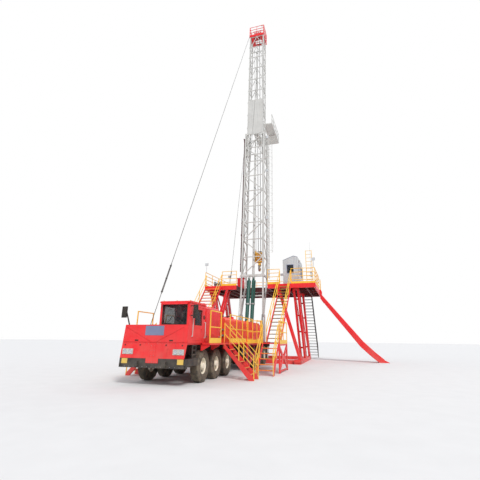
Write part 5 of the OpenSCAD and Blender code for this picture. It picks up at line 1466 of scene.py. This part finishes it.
def make_running_gear():
    """Spring leaves and clamps, shafts, brake chambers, tie rods and air hoses."""
    steel, dark = Piece("spring_clamps", "machined_steel"), Piece("driveline", "chassis_paint")
    hoses = Piece("air_hoses", "black_plastic")
    for y in FRONT_AXLES + REAR_AXLES:
        for side in SIDES:
            x = side * 0.43
            for dx, dy in itertools.product((-0.055, 0.055), (-0.1, 0.1)):
                steel.rod_z(x + dx, y + dy, 0.56, 0.8, 0.012, 8)
            for k in range(5):
                reach, z = 0.5 - 0.075 * k, 0.766 - k * 0.018
                dark.box((x - 0.04, y - reach, z), (x + 0.04, y + reach, z + 0.016))
            dark.rod_y(side * 0.62, 0.7, y + 0.18, y + 0.34, 0.075, 20)
            dark.rod_y(side * 0.62, 0.7, y + 0.26, y + 0.28, 0.088, 20)
            bend = ((0.62, 0.34, 0.72), (0.55, 0.42, 0.9), (0.47, 0.42, 1.0))
            hoses.path([(side * dx, y + dy, z) for dx, dy, z in bend], 0.01, 6)
        dark.rod_x(y, AXLE_Z, -0.15, 0.15, 0.19, 28)
        dark.rod_y(0, SHAFT_Z, y - 0.22, y + 0.22, 0.09, 20)
    stops = sorted(FRONT_AXLES + REAR_AXLES)
    for a, b in zip(stops, stops[1:]):
        steel.rod_y(0, SHAFT_Z, a + 0.22, b - 0.22, 0.045, 16)
        for y in (a + 0.26, b - 0.26):
            steel.rod_y(0, SHAFT_Z, y - 0.03, y + 0.03, 0.065, 12)
    for y in FRONT_AXLES:
        dark.rod_x(y - 0.24, SHAFT_Z, -0.5, 0.5, 0.022, 10)
    for x in (0.37, -0.37):
        hoses.path([(x, y, 1.3) for y in (-16.6, -13.0, -9.0, -6.4)], 0.016, 8)
    for piece in (steel, dark, hoses):
        piece.done(smooth=True)


def make_tanks():
    """Straps and filler caps of the tanks, and the bolted panels of the boxes behind them."""
    straps, lids = Piece("tank_straps", "machined_steel"), Piece("tank_lids", "galvanised")
    for side in SIDES:
        x, wall = side * TANK_X, side * BOX_X
        for y in (0.12, 0.42, 1.02, 1.32):
            strap = [(y, 0.249), (y, 0.256), (y + 0.05, 0.256), (y + 0.05, 0.249)]
            straps.spin(strap, 48, facing_y(x, -11.35, TANK_Z))
        for y in (-11.352, -9.898):
            straps.rod_y(x, TANK_Z, y - 0.004, y + 0.004, 0.2, 36)
        lids.rod((side * 0.98, -11.1, 1.15), (side * 0.99, -11.1, 1.2), 0.05, 20)
        for z in (0.84, 1.08):
            plate(straps, "x", wall, side * 0.01, (-9.78, z), (-8.9, z + 0.03))
        for y in (-9.6, -9.1):
            plate(straps, "x", wall, side * 0.014, (y - 0.03, 1.12), (y + 0.03, 1.18))
        bolted_panel(lids, straps, "x", wall, side * 0.005, (-9.74, 0.88), (-8.94, 1.06))
    straps.done(smooth=True)
    lids.done()


def make_deck():
    """Mud flaps, walkway pads, and the deck's rubbing edges."""
    flaps, pads = Piece("mud_flaps", "black_plastic"), Piece("deck_pads", "dark_red")
    rims = Piece("deck_edges", "red_paint")
    for side in SIDES:
        for y in (-7.78, -3.42):
            flaps.box((side * 0.72, y - 0.005, 0.35), (side * 1.37, y + 0.005, 1.3))
        for y, count, inner in ((-12.6, 29, 1.32), (-15.55, 7, 1.42)):
            low, high = (side * inner, y, DECK_Z), (side * 1.7, y + 0.12, DECK_Z + 0.005)
            pads.row(count, (0, 0.2, 0), low, high)
        for x, y0, y1 in ((1.745, -15.6, -6.77), (1.395, -6.74, -2.5)):
            rims.rod_y(side * x, 1.44, y0, y1, 0.012, 8)
        for y in (-12.6, -11.2, -9.4, -8.9, -7.2):
            rims.box((side * 1.73 - 0.012, y - 0.06, 1.505), (side * 1.73 + 0.012, y + 0.06, 1.53))
    for piece in (flaps, pads, rims):
        piece.done()


MAKERS = (
    make_stays, make_head_lamps, make_blank_plate, make_nose_trim, make_nose_dark,
    make_cab_gaskets, make_cab_door, make_cab_trim, make_dash,
    make_housing, make_radiator, make_exhausts, make_air_filters,
    make_case_covers, make_case_top, make_drum_rope, make_brake_bands,
    make_mast_gussets, make_standpipe, make_mast_lamps, make_climbing_cage, make_mast_top, make_crown,
    make_lines, make_block, make_rams, make_board,
    make_grating, make_consoles, make_tongs, make_floor_edges,
    make_house_ribs, make_house_frames, make_house_door, make_house_extras,
    make_slide, make_stairs, make_base, make_jacks, make_running_gear, make_tanks, make_deck,
)
for make in MAKERS:
    make()
